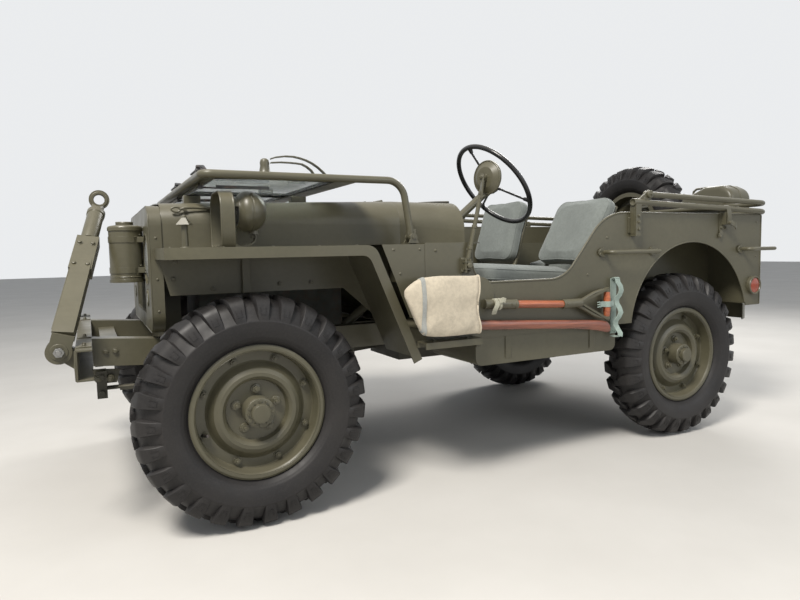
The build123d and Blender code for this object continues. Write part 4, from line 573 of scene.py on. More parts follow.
# Seats: pads swollen by cloth simulation, kept flat where they rest, with piping
pads = {
    # length, width, thickness and the corners' radius, in metres
    "front_cushion": (0.521, 0.380, 0.068, 0.055),
    "front_back": (0.366, 0.380, 0.062, 0.055),
    "rear_cushion": (0.330, 0.880, 0.068, 0.045),
    "rear_back": (0.210, 0.880, 0.062, 0.045),
}
MARGIN = 0.005
VOXEL = 0.006
SWELL_FRAMES, SWELL_FORCE = 20, 4.0
SMOOTH_ROUNDS = 16
# shares of the swelling kept along the pad's faces, through its thickness and as creases
FLAT_SHARE, THICK_SHARE, CREASE_SHARE = 0.22, 0.70, 0.05
MOST_MOVE, RIDGE = 0.024, 0.0022
PIPE_POINTS, PIPE_RADIUS, PIPE_SINK = 120, 0.0034, 0.0012


def evaluated(holder):
    """The object's mesh with its modifiers, as a new mesh."""
    return bpy.data.meshes.new_from_object(holder.evaluated_get(bpy.context.evaluated_depsgraph_get()))


def swell(holder):
    """Points of the object's mesh after a pressure in it has swollen it as cloth."""
    cloth = holder.modifiers.new("swell", "CLOTH")
    cloth.settings.quality = 4
    cloth.settings.use_pressure = True
    cloth.settings.uniform_pressure_force = SWELL_FORCE
    cloth.settings.effector_weights.gravity = 0.0
    cloth.point_cache.frame_start = 1
    cloth.point_cache.frame_end = SWELL_FRAMES
    for step in range(1, SWELL_FRAMES + 1):
        scene.frame_set(step)
        bpy.context.view_layer.update()
    after = [v.co.copy() for v in evaluated(holder).vertices]
    scene.frame_set(1)
    holder.modifiers.clear()
    return after


def swollen(name, length, width, thick, round_corner):
    """Closed pad from 0 to length, across width and from 0 up to thick, in metres."""
    work = bmesh.new()
    bmesh.ops.create_cube(work, size=1.0)
    for vertex in work.verts:
        vertex.co = Vector((
            MARGIN if vertex.co.x < 0 else length - MARGIN,
            (width / 2 - MARGIN) * (-1 if vertex.co.y < 0 else 1),
            0.001 if vertex.co.z < 0 else thick - 0.010,
        ))
    edges = [e for e in work.edges if abs(e.verts[0].co.z - e.verts[1].co.z) > 0.01]
    bmesh.ops.bevel(work, geom=edges, offset=round_corner, segments=6, profile=0.5, affect="EDGES")
    edges = [e for e in work.edges if abs(e.verts[0].co.z - e.verts[1].co.z) < 0.001]
    edges = [e for e in edges if e.is_manifold and e.calc_face_angle() > 1.0]
    bmesh.ops.bevel(work, geom=edges, offset=0.016, segments=4, profile=0.5, affect="EDGES")
    shell = bpy.data.meshes.new(name + "_shell")
    work.to_mesh(shell)
    work.free()
    holder = bpy.data.objects.new(name + "_shell", shell)
    scene.collection.objects.link(holder)
    remesh = holder.modifiers.new("even", "REMESH")
    remesh.mode = "VOXEL"
    remesh.voxel_size = VOXEL
    still = evaluated(holder)
    holder.modifiers.clear()
    holder.data = still
    before = [v.co.copy() for v in still.vertices]
    raw = moves = [Vector() for _ in before]
    raw = moves = [end - start for start, end in zip(before, swell(holder))]
    links = [[] for _ in before]
    for edge in still.edges:
        links[edge.vertices[0]].append(edge.vertices[1])
        links[edge.vertices[1]].append(edge.vertices[0])
    for _ in range(SMOOTH_ROUNDS):
        moves = [sum((moves[j] for j in near), moves[i]) / (len(near) + 1) for i, near in enumerate(links)]
    for vertex, start, smoothed, creased in zip(still.vertices, before, moves, raw):
        move = Vector((smoothed.x * FLAT_SHARE, smoothed.y * FLAT_SHARE, smoothed.z * THICK_SHARE))
        move += creased * CREASE_SHARE
        if move.length > MOST_MOVE:
            move *= MOST_MOVE / move.length
        point = start + move
        ridge = RIDGE * noise.noise(Vector((point.x * 9, point.y * 9, thick * 40)))
        point.z += ridge if point.z > thick * 0.6 else 0
        point.x = min(max(point.x, -0.004), length + 0.004)
        point.y = min(max(point.y, -width / 2 - 0.004), width / 2 + 0.004)
        point.z = min(max(point.z, 0.0006), thick + 0.010)
        vertex.co = point
    mesh = still.copy()
    bpy.data.objects.remove(holder)
    return mesh


def piping(mesh, length, width, height):
    """Rings of a tube along the pad's edge at one height, in the pad's own frame."""
    tree = BVHTree.FromPolygons([v.co for v in mesh.vertices], [tuple(p.vertices) for p in mesh.polygons])
    middle = Vector((length / 2, 0, height))
    path = []
    for turn in turns(PIPE_POINTS):
        aim = Vector((cos(turn), sin(turn), 0))
        reach = 1.0 / max(abs(aim.x) / (length / 2), abs(aim.y) / (width / 2))
        hit = tree.ray_cast(middle + aim * (reach + 0.1), -aim)[0]
        path.append((hit or middle + aim * reach) - aim * PIPE_SINK)
    rings = []
    for i, centre in enumerate(path):
        along = (path[(i + 1) % PIPE_POINTS] - path[i - 1]).normalized()
        side = along.cross(Vector(UP)).normalized()
        rings.append(circle(centre, (side, Vector(UP)), PIPE_RADIUS, 8))
    return [*rings, rings[0]]


bases = {kind: swollen(kind, *sizes) for kind, sizes in pads.items()}


def seat_pad(name, kind, origin, tilt):
    """One pad and its piping: it runs rearward from its origin in millimetres, turned by tilt."""
    length, width, thick, _ = pads[kind]
    along, normal = Vector((-cos(tilt), 0, -sin(tilt))), Vector((-sin(tilt), 0, cos(tilt)))
    side = normal.cross(along)
    rows = [(along[i], side[i], normal[i], origin[i] * MM) for i in range(3)]
    place = Matrix((*rows, (0, 0, 0, 1)))
    mesh = bases[kind].copy()
    mesh.name = name
    piped = Form()
    for share in (0.80, 0.16):
        rings = piping(mesh, length, width, thick * share)
        piped.loops([[(place @ p) / MM for p in ring] for ring in rings], caps=False)
    mesh.transform(Matrix.Translation((0, 0, LIFT * MM)) @ place)
    mesh.materials.clear()
    mesh.materials.append(mats["seat_canvas"])
    pad = ready(mesh, name, "chassis", "seat_canvas", smooth=180, replaces=("seat_cushions", "seat_backs"))
    piped.piece(name + "_piping", "seat_canvas", smooth=180)


BACK_THICK = 62.0
BACK_REACH, BACK_DEPTH = 366, 84
CUSHION_SLOPE, REAR_LEAN = atan2(34.0, 520.0), radians(15)


def seat_back(name, kind, x, y, z, lean):
    """One back pad, with the middle of its front face's foot at a place."""
    seat_pad(name, kind, (x - BACK_THICK * cos(lean), y, z - BACK_THICK * sin(lean)), lean - pi / 2)


seats = (("driver", 305.0, -500.0, radians(29)), ("passenger", -305.0, -520.0, radians(17)))
seat_trim = Form()
for label, y, foot, lean in seats:
    seat_pad(f"cushion_{label}", "front_cushion", (56.0, y, 744.0), CUSHION_SLOPE)
    seat_back(f"back_{label}", "front_back", foot, y, 815.0, lean)
    up, rearward = Vector((-sin(lean), 0, cos(lean))), Vector((-cos(lean), 0, -sin(lean)))
    for edge, share in ((150, 0.12), (150, 0.8), (-150, 0.12), (-150, 0.8)):
        spot = Vector((foot, y + edge, 815)) + up * BACK_REACH * share + rearward * BACK_DEPTH
        seat_trim.bolts([spot], rearward)
    for x, edge in ((36, 160), (-477, 160), (36, -160), (-477, -160)):
        seat_trim.rod((x, y + edge, 590.8), (x, y + edge, 594.5), 22, 20, 20)
        seat_trim.bolts([(x + 15, y + edge, 594)], UP, 4, 4, washer=0)
seat_pad("cushion_rear", "rear_cushion", (-893.0, 0, 732.0), 0.0)
seat_back("back_rear", "rear_back", -1238.0, 0, 810.0, REAR_LEAN)
seat_trim.piece("seat_trim")

# Folded canvas bucket with its band and hem
bucket_rows = [
    # along the car, low, high, half thickness
    (605, 722, 744, 5), (598, 706, 752, 10), (584, 676, 763, 15),
    (566, 636, 774, 19), (548, 600, 782, 22), (539, 588, 785, 23),
    (520, 580, 787, 24.5), (492, 576, 789, 25.5), (460, 574, 790, 25.5),
    (428, 573, 789, 25), (396, 573, 788, 24), (366, 573.5, 787, 23),
    (342, 574, 786, 22), (322, 574, 786, 21.5), (305, 574, 787, 21.5),
]
BUCKET_Y, BUCKET_FOOT = 793.0, 573.0
LINING = 2.2
FIRST_LINED = 9


def bucket_ring(x, low, high, half, shrink=0.0):
    """Closed ring around the folded bucket at one place, with its folds."""
    ring = []
    rear = max(0.0, (540.0 - x) / 235.0)
    for turn in turns(72):
        c, s = cos(turn), sin(turn)
        hand = 1 if c > 0 else -1
        y = (half - shrink) * abs(c) ** 0.75
        z = (low + high) / 2 + ((high - low) / 2 - shrink) * (abs(s) ** 0.62) * (1 if s > 0 else -1)
        fold = 5.0 * noise.noise(Vector((x * 0.012, z * 0.020 + x * 0.008, 3.0 if c > 0 else 9.0)))
        rise = z - BUCKET_FOOT
        fan = max(0.0, 1.0 - rise / 110.0) * 4.6 * sin((x + rise * 0.5) * 0.085)
        mouth = rear ** 3 * 3.0 * sin(z * 0.055)
        shift = 13.0 * rear ** 4 * sin((z - 575.0) / 210.0 * pi) ** 2
        folds = (fold + fan + mouth) * min(1.0, half / 20.0) * min(1.0, abs(c) * 2.5)
        ring.append((x + shift, BUCKET_Y + hand * (y + folds), z))
    return ring


def bucket_row(x):
    """The bucket's row at a place between two rows."""
    high, low = next((r, q) for r, q in zip(bucket_rows, bucket_rows[1:]) if r[0] >= x >= q[0])
    share = (high[0] - x) / (high[0] - low[0])
    return [r + (q - r) * share for r, q in zip(high, low)]


sack = Form()
sack.loops(
    [bucket_ring(*row) for row in bucket_rows]
    + [bucket_ring(*row, LINING) for row in reversed(bucket_rows[FIRST_LINED:])]
)
bucket = sack.piece("canvas_bucket", "pale_canvas", smooth=180, replaces=("bucket",))
band = Form()
band_rings = [(533.5, -0.2), (533.5, -2.4), (548.5, -2.4), (548.5, -0.2)]
band.loops([bucket_ring(*bucket_row(x), shrink) for x, shrink in band_rings], caps=False)
band.piece("bucket_band", "pale_canvas", "band_grey", smooth=50)
hem = Form()
rim_line = bucket_ring(*bucket_rows[-1], 0.6)
hem.tube([*rim_line, rim_line[0]], 3.0, 8)
hem.piece("bucket_hem", "pale_canvas", smooth=180)

# Tools: shovel shaft and grip, axe helve, wavy clamp, straps and the shovel's collars and fork
TOOL_Y = 750.3
SHOVEL_SLOPE, AXE_SLOPE = 0.055, 0.066


def shovel_z(x):
    """Height of the shovel's middle line."""
    return 640.0 + SHOVEL_SLOPE * (x + 380.0)


def axe_z(x):
    """Height of the axe's middle line."""
    return 557.0 + AXE_SLOPE * (x + 380.0)


shaft = Form()
stretch = [(122.0, 14.3), (80.0, 15.0), (20.0, 15.4), (-60.0, 15.0), (-130.0, 14.4), (-154.0, 14.2)]
upright_plane = (Vector(LEFT), Vector(UP))
shaft.loops([circle(Vector((x, TOOL_Y, shovel_z(x))), upright_plane, r, 24) for x, r in stretch])
grip = [(0, 12.6), (10, 13.6), (30, 15.0), (51, 15.6), (72, 15.0), (92, 13.6), (103, 12.6)]
shaft.turned((-380, TOOL_Y, 588.5), UP, grip)
shaft.piece("shovel_wood", "varnished_wood", smooth=60, replaces=("tool_handles",))
helve_rows = [
    # along the car, middle height's shift, half height, half width
    (362, 0, 17, 11), (300, -2.5, 19, 11.5), (160, -3, 18, 11.5),
    (40, -2.5, 17.5, 11.5), (-80, -2.5, 17.5, 11.5), (-180, -3, 18, 11.5),
    (-270, -4.5, 19.5, 12), (-320, -7, 21.5, 12.5), (-355, -11, 23.5, 12.5),
    (-378, -14, 24, 12.5), (-389, -15, 20, 11),
]
helve = Form()
rings = []
for x, shift, h, w in helve_rows:
    slant = 0.25 * h if x < -380 else 0
    middle = axe_z(x) + shift
    rings.append([(x + slant * sin(t), TOOL_Y + w * cos(t), middle + h * sin(t)) for t in turns(28)])
helve.loops(rings)
helve.piece("axe_helve", "varnished_wood", "axe_wood", smooth=60)
clamp = Form()
clamp.block((-458, 723.3, 508), (-426, 727.5, 746))
wave = [
    # shift along the car, height, distance from the back plate
    (0, 500, 44), (-4, 512, 42), (-2, 528, 30), (6, 548, 24), (9, 566, 30), (2, 584, 40), (-4, 602, 44),
    (-2, 620, 38), (6, 640, 30), (8, 660, 32), (0, 678, 41), (-5, 696, 44), (-4, 714, 40), (2, 730, 32),
    (0, 744, 26),
]
clamp.tube([(-440 + dx, 723.5 + out, z) for dx, z, out in wave], 13.0, flat=1.6, side=AHEAD)
clamp.tube([(-440, 723.5, 744), (-440, 742, 750), (-438, 751, 746)], 14.0, flat=1.6, side=AHEAD)
clamp.tube([(-440, 723.5, 498), (-440, 750, 496), (-440, 768, 500)], 14.0, flat=1.6, side=AHEAD)
clamp.bolts([(-448, 727.5, 735), (-448, 727.5, 520)], LEFT, 6)
clamp.piece("wavy_clamp", "pale_canvas", "webbing", smooth=40, replaces=("tool_clamp",))
wrap = Form()
wrap.turned((-380, TOOL_Y, 628), UP, [(0, 15.2), (0.6, 17.6), (23.4, 17.6), (24, 15.2)])
straps = [
    [(-396, TOOL_Y + 4, 640), (-412, TOOL_Y + 2, 642), (-430, TOOL_Y - 4, 640)],
    [(-364, TOOL_Y + 6, 640), (-346, TOOL_Y + 9, 642), (-330, TOOL_Y + 9, 640)],
]
for path in straps:
    wrap.tube(path, 11.0, flat=1.4, side=UP)
for z in (630, 640, 650):
    wrap.tube([(-334, TOOL_Y + 10, z), (-326, TOOL_Y + 14, z + 2), (-318, TOOL_Y + 8, z)], 2.2, 8)
wrap.piece("grip_strap", "pale_canvas", "webbing", smooth=40)
knot = Form()
for x, r in ((206, 21.5), (190, 22.5)):
    knot.turned((x, TOOL_Y, shovel_z(x)), BACK, [(0, 18.4), (1, r), (12, r + 0.6), (13, 18.4)])
tail = [(198, 20, 684), (205, 27, 672), (214, 24, 652), (212, 12, 636)]
knot.tube([(x, TOOL_Y + out, z) for x, out, z in tail], 9.0, flat=1.5, side=(1, 0, 0.2))
tail = [(192, 22, 684), (180, 29, 690), (168, 27, 686)]
knot.tube([(x, TOOL_Y + out, z) for x, out, z in tail], 9.0, flat=1.5, side=UP)
knot.piece("shovel_strap", "pale_canvas", "strap_pale", smooth=40)
blade = Form()
blade.bolts([(x, TOOL_Y + 18, shovel_z(x)) for x in (-150, 128)], LEFT, 4, 3, washer=0)
for x, ahead in ((97, 1), (-136, -1)):
    collar = [(0, 18.6), (2, 19.4), (10, 19.4), (12, 18.6)]
    blade.turned((x, TOOL_Y, shovel_z(x)), (ahead, 0, ahead * SHOVEL_SLOPE), collar)
fork = ((-206, 3), (-236, 13), (-272, 30), (-308, 46), (-340, 55), (-372, 58))
for up in (1, -1):
    blade.tube([(x, TOOL_Y, shovel_z(x) + up * off) for x, off in fork], 8.0, 12)
blade.piece("tool_rivets", smooth=40)

# Tow bar: box plates with their bolts, sleeves, welds, collars and the pins' nuts
tow, pins = Form(), Form()
PIN_X, PIN_Y, PIN_Z = 1660, 540, 597
tow_top = Vector((1516, 0, 1092))
for side in SIDES:
    foot = Vector((PIN_X, side * PIN_Y, PIN_Z))
    along = (tow_top - foot).normalized()
    deep = (Vector(AHEAD) - along * along.x).normalized()
    out = along.cross(deep)
    out *= side if out.y > 0 else -side

    def spot(share, u=0.0, v=0.0):
        """Place on the arm, at a share of its length."""
        return foot + (tow_top - foot) * share + deep * u + out * v

    box = [(-36, -25), (36, -25), (36, 25), (-36, 25)]
    tow.loops([[spot(share, u, v) for u, v in box] for share in (0.462, 0.690)])
    for v, facing in ((25, out), (-25, -out)):
        tow.bolts([spot(share, u, v) for share in (0.49, 0.635) for u in (-21, 21)], facing, 7.5, 6.5)
    sleeve = [(0, 28), (2, 28.6), (143, 28.6), (146, 31.5), (164, 31.5), (168, 29), (170, 23)]
    tow.turned(spot(0.69), along, sleeve, 28)
    weld = ((-1.6, 0), (1.6, 0), (1.2, 1.6), (-1.2, 1.6))
    for u in (-31.5, 31.5):
        tow.loops([[spot(share, u + du, 20.2 + dv) for du, dv in weld] for share in (0.09, 0.462)])
    tow.rod(spot(0.13, 0, 20), spot(0.13, 0, 22.5), 12, 11, 20)
    for hand in (1, -1):
        y, facing = side * PIN_Y, (0, hand, 0)
        tow.turned((PIN_X, y + hand * 24.6, PIN_Z), facing, [(0, 26), (2.2, 25), (2.4, 14)], 28)
        for near, far, r, end_r, sides in ((28.6, 39, 16, 15.4, 6), (39, 45, 8, 7, 14)):
            pins.rod((PIN_X, y + hand * near, PIN_Z), (PIN_X, y + hand * far, PIN_Z), r, end_r, sides)
    eye = [(0, 31), (2.4, 29), (2.4, 20.5), (0, 20.5)]
    tow.turned((1516, side * 14.2, 1100), (0, side, 0), eye, 32, caps=False)
tow.piece("tow_fittings", body="tow_bar", smooth=35, soften=1.0)
pins.piece("tow_pin_nuts", material="bare_steel")

# Front bumper: top gusset plates, end webs, bolts and the springs' front eyes
bump = Form()
for y in (-560, -372, 300, 545):
    bump.block((1571, y - 42, 608), (1614, y + 42, 611))
    bump.bolts([(1592, y + dy, 611) for dy in (-18, 18)], UP, 5.5, 4)
for side in SIDES:
    out = (0, side, 0)
    bump.bolts([(x, side * 371.2, 560) for x in (1500, 1530)], out, 8, 7)
    for x, z in ((1556, 470), (1519, 466)):
        bump.rod((x, side * 315, z), (x, side * 370, z), 12, 12, 16)
        bump.bolts([(x, side * 371, z)], out, 8, 7)
    bump.bolts([(1616, side * y, 561) for y in (430, 250)], AHEAD, 9, 7)
    web = ((1568, 500), (1600, 500), (1560, 448), (1500, 448), (1488, 494))
    bump.plate([(x, side * 341, z) for x, z in web], LEFT, 5)
    bump.tube([(1616, side * 636, 606), (1617, side * 640, 561), (1616, side * 636, 516)], 3, 8)
bump.piece("bumper_fittings", smooth=35, soften=0.6)

# Springs: rebound clips, U-bolts and their nuts, and the shackle nuts
leaf = Form()
for axle, y in ((axle, side * 340.0) for axle in (1092.0, -940.0) for side in SIDES):
    for x, dy in ((axle + dx, dy) for dx in (-38, 38) for dy in (-34, 34)):
        leaf.rod((x, y + dy, 318), (x, y + dy, 446), 6, 6, 10)
        leaf.rod((x, y + dy, 318), (x, y + dy, 328), 10, 10, 6)
    leaf.block((axle - 52, y - 42, 322), (axle + 52, y + 42, 330))
    for x in (axle - 270, axle + 270):
        leaf.block((x - 12, y - 25, 404), (x + 12, y + 25, 437))
    for x, hand, z in ((axle + dx, hand, z) for dx in (-455, 455) for hand in (-1, 1) for z in (419, 474)):
        leaf.rod((x, y + hand * 31, z), (x, y + hand * 39, z), 11, 10, 6)
leaf.piece("spring_fittings", "chassis_paint", smooth=35, soften=0.6)

# Drive lamp: shells with their seam band, hooded lens, bent bracket and guard hoop
lamp = Form()
lx, ly, lz = 1068.0, 566.0, 1022.0
lamp.turned((lx, ly, lz), AHEAD, [
    (-50, 0.5), (-50, 14), (-47, 28), (-41, 40), (-32, 51), (-20, 60), (-8, 65), (2, 67.4), (3, 66.6),
    (4.6, 66.6), (5.6, 67.6), (12, 68.6), (22, 67.8), (30, 65), (38, 59), (44, 52.5), (49, 50.5),
    (50, 48), (47, 46.5), (42, 46),
], 48, caps=False)
peak = ((0, 46.5), (24, 45.0), (24, 47.3), (0, 48.5))
lamp.loops([
    [(lx + 44 + depth, ly + r * cos(t), lz + r * sin(t)) for depth, r in peak]
    for t in (radians(18 + 9 * i) for i in range(17))
])
bracket = ((-6, 952), (-12, 938), (-8, 922), (6, 911), (30, 906.5), (64, 905.5))
lamp.tube([(lx + dx, ly, z) for dx, z in bracket], 15, flat=2.4, side=LEFT)
lamp.rod((lx - 6, ly, 946), (lx - 6, ly, 958), 17, 14, 20)
lamp.rod((lx - 6, ly, 932), (lx - 6, ly, 944), 10, 10, 6)
lamp.bolts([(lx + 22, ly, 908), (lx + 52, ly, 908)], UP, 7)
for hand in (1, -1):
    lamp.bolts([(lx + 4, ly + hand * 38, lz + hand * 55)], (0, hand * 0.57, hand * 0.82), 5, washer=0)
HOOP_X, HOOP_HALF, HOOP_TOP, HOOP_BEND = 1163, 90, 1084, 56
hoop = [(62, 905.4), (84, 906), (90, 914)]
for k in range(10):
    t = radians(10 * k)
    hoop.append((HOOP_HALF + HOOP_BEND * (cos(t) - 1), HOOP_TOP + HOOP_BEND * (sin(t) - 1)))
hoop += [(-out, z) for out, z in reversed(hoop)]
lamp.tube([(HOOP_X, ly + out, z) for out, z in hoop], 21.0, flat=2.0, side=AHEAD)
for edge in (-20, 20):
    lamp.tube([(HOOP_X + edge, ly + out, z) for out, z in hoop], 3.0, 8)
lamp.bolts([(HOOP_X, ly + 68, 908), (HOOP_X, ly - 68, 908)], UP, 6)
lamp.piece("drive_lamp_shell", smooth=40, replaces=("drive_lamp",))
visor = Form()
visor.turned((lx + 40, ly, lz), AHEAD, [(0, 46.4), (3, 46.0), (5, 40), (6.5, 20), (7, 0.5)], 40, caps=False)
visor.piece("drive_lamp_lens", "glass", "dark_glass", smooth=60)

# Headlamps, marker lamps, reflectors and tail lamps
ring, lens, red = Form(), Form(), Form()
for side in SIDES:
    out, y = (0, side, 0), side * 296
    lamps = [
        # form, centre, axis, sides, profile
        (ring, (1371, y, 868), AHEAD, 48, [(0, 86), (5, 86), (8, 83), (9, 79), (7, 76), (3, 75)]),
        (lens, (1377, y, 868), AHEAD, 48, [(0, 76), (2.4, 70), (6, 48), (8, 24), (8.6, 0.5)]),
        (ring, (1371, y, 730), AHEAD, 36, [(0, 32.5), (9, 32), (14, 29), (15, 26), (13, 23)]),
        (lens, (1382, y, 730), AHEAD, 32, [(0, 24), (2, 22), (3.4, 12), (3.8, 0.5)]),
        (ring, (-1395, side * 737, 676), out, 44, [(0, 46), (3, 46), (6.5, 43.5), (6, 39), (1.5, 37)]),
        (red, (-1395, side * 737.6, 676), out, 40, [(0, 38), (1.5, 34), (3.2, 18), (3.6, 0.5)]),
        (ring, (-1508, side * 640, 760), BACK, 36, [(0, 36.5), (4, 37), (7, 34), (6, 30), (2, 29)]),
        (red, (-1509, side * 640, 760), BACK, 32, [(0, 29), (2, 26), (4, 13), (4.4, 0.5)]),
    ]
    for form, centre, axis, sides, profile in lamps:
        form.turned(centre, axis, profile, sides, caps=False)
    screws = [(-1395 + 40.5 * cos(t), side * 743.2, 676 + 40.5 * sin(t)) for t in (0.9, 4.1)]
    ring.bolts(screws, out, 2.8, 2, washer=0)
ring.piece("lamp_rims", smooth=50)
lens.piece("lamp_lenses", "glass", "lens_glass", smooth=60)
red.piece("reflectors", "glass", "amber_glass", smooth=60)

# Hood: catches on both sides, fender screws, hinge at the rear and the windscreen's blocks
latch = Form()
for side in SIDES:
    latch.turned((1283, side * 560, 903.3), UP, [(0, 17), (3, 16), (4, 11), (60, 10), (78, 10), (82, 12)], 20)
    latch.rod((1283, side * 560, 978), (1283, side * 560, 1003), 31, 8, 4, 0.35)
    latch.rod((1283, side * 560, 1003), (1283, side * 560, 1009), 9, 7, 6)
    eye = [(1291 - 15 * cos(t), 433, 1036 + 8 * sin(t)) for t in (*turns(14), 2 * pi)]
    latch.tube(on(side, eye), 3.2, 8)
    pull = [(1276, 433, 1037), (1262, 434, 1042), (1236, 434, 1043), (1140, 437, 1040), (1130, 434, 1036)]
    latch.tube(on(side, pull), 4.6)
    latch.rod(*on(side, [(1262, 427, 1038), (1262, 437, 1038)]), 8, 7, 14)
    latch.rod(*on(side, [(1190, 435, 1041.5), (1150, 436, 1040.5)]), 7.5, 7.5, 14)
    latch.block(*on(side, [(1160, 429, 1030), (1176, 435, 1052)]))
    latch.bolts([(x, side * 470, 903) for x in (1129, 860, 700)], UP, 5, 3.5)
    latch.bolts([(x, side * 655, 903) for x in (1340, 1180, 1020, 860, 720)], UP, 4.4, 3, washer=0)
for y in (-330, -165, 0, 165, 330):
    height = 1096 - 18 * (y / 434) ** 2
    latch.rod((484, y - 38, height - 0.5), (484, y + 38, height - 0.5), 5.5, 5.5, 12)
    latch.rivets([(468, y, height + 0.2), (500, y, height - 0.4)], UP, 4.5)
latch.piece("hood_catches", smooth=40, soften=0.4)
rest = Form()
for y in (240, -240):
    rest.block((1180, y - 22, 1070), (1240, y + 22, 1100))
    rest.block((770, y - 22, 1082), (830, y + 22, 1108))
rest.piece("hood_blocks", soften=2.0)

# Windscreen: bow-shaped guard, holding-down knobs, frame screws, hinges, wipers with their motors and seals
screen = Form()
GUARD_Y = 600
outer_arc = [
    (1003, 1197), (985, 1203), (953, 1208), (925, 1208), (902, 1204), (880, 1198), (859, 1189), (838, 1176),
    (819, 1160), (806, 1147),
]
inner_arc = [
    (1003, 1184), (970, 1187), (938, 1187), (915, 1186), (895, 1184), (878, 1176), (862, 1164), (850, 1147),
]
for arc in (outer_arc, inner_arc):
    screen.tube([(x, GUARD_Y, z) for x, z in arc], 9.0, flat=2.0, side=LEFT)
tall_knob = [(0, 25), (5, 24), (12, 19), (34, 15), (44, 16), (54, 13), (58, 7), (59, 1)]
screen.turned((1024, GUARD_Y, 1139), UP, tall_knob)
screen.block((990, GUARD_Y - 24, 1139), (1056, GUARD_Y + 24, 1142))
screen.block((800, GUARD_Y - 16, 1139), (858, GUARD_Y + 16, 1148))
for y in (-600, 0):
    screen.turned((1024, y, 1139), UP, [(0, 20), (5, 19), (10, 12), (26, 10), (30, 6), (31, 1)], 20)
for side in SIDES:
    screen.rivets([(x, side * 612, 1139) for x in (700, 780, 1110, 1190)], UP)
    screen.rivets([(1207, side * y, 1145) for y in (90, 330, 560)], UP, 4.5)
    screen.rivets([(692, side * y, 1139) for y in (90, 330, 560)], UP)
    screen.block((478, side * 640 - 7, 929), (512, side * 640 + 7, 960))
screen.piece("screen_fittings", body="windscreen", smooth=40, soften=0.4)
wiper = Form()
for y in (395, -175):
    wiper.block((1180, y - 42, 1139), (1222, y + 42, 1166))
    wiper.turned((1200, y + 20, 1164), UP, [(0, 20), (14, 20), (20, 15), (22, 6)])
    wiper.turned((1200, y - 24, 1164), UP, [(0, 13), (10, 13), (14, 8)], 20)
    arm = ((1206, -30, 1174), (1214, 30, 1186), (1204, 92, 1178), (1200, 118, 1162))
    wiper.tube([(x, y + dy, z) for x, dy, z in arm], 5.0, 8)
    wiper.tube([(1222, y - 60, 1168), (1214, y + 10, 1176), (1222, y + 70, 1166)], 3.4, 8)
    wiper.rod((1200, y, 1139), (1200, y, 1112), 8, 8, 14)
    wiper.tube([(1200, y, 1118), (1150, y + 6, 1116), (1010, y + 16, 1118)], 3.0, 8)
    wiper.block((960, y + 12, 1114), (1150, y + 20, 1125))
wiper.piece("wipers", "black_plastic", "dark_steel", "windscreen", smooth=40, soften=0.6)
seal = Form()
pane = [(781, 15), (1186.6, 15), (1186.6, 593), (781, 593), (781, 15)]
for side in SIDES:
    for z in (1143.2, 1128.8):
        seal.tube([(x, side * y, z) for x, y in pane], 4.0, 8)
seal.piece("glass_seals", "black_plastic", body="windscreen", smooth=60)

# Body sides: rolled edges, screws, bow sockets and clamps, handle ends and steps
side_trim, hardware = Form(), Form()
edge_line = rounded([(280, 905), (280, 754), (-171, 754), (-398, 1026), (-1453, 1026)], (80, 160, 230))
edge_screws = [
    (-536, 1003), (-407, 920), (-297, 766), (237, 763), (300, 640), (300, 880), (440, 880), (440, 620),
    (-1420, 990), (-1420, 640), (-1420, 820),
]
ARCH_R, ARCH_X, ARCH_Z = 402.5, -953, 495
arch = [(ARCH_X + ARCH_R * cos(radians(t)), ARCH_Z + ARCH_R * sin(radians(t))) for t in range(7, 169, 3)]
SOCKET_X, CLAMP_X = -559, -1158
socket = [(-26, 15.5), (-20, 16.4), (36, 16.4), (38, 15.6), (38, 12.2), (34, 11.6), (30, 0.5)]
clamp_strap = ((757, 980), (760, 1010), (756, 1040), (748, 1062), (738, 1066), (726, 1058), (724, 1036))
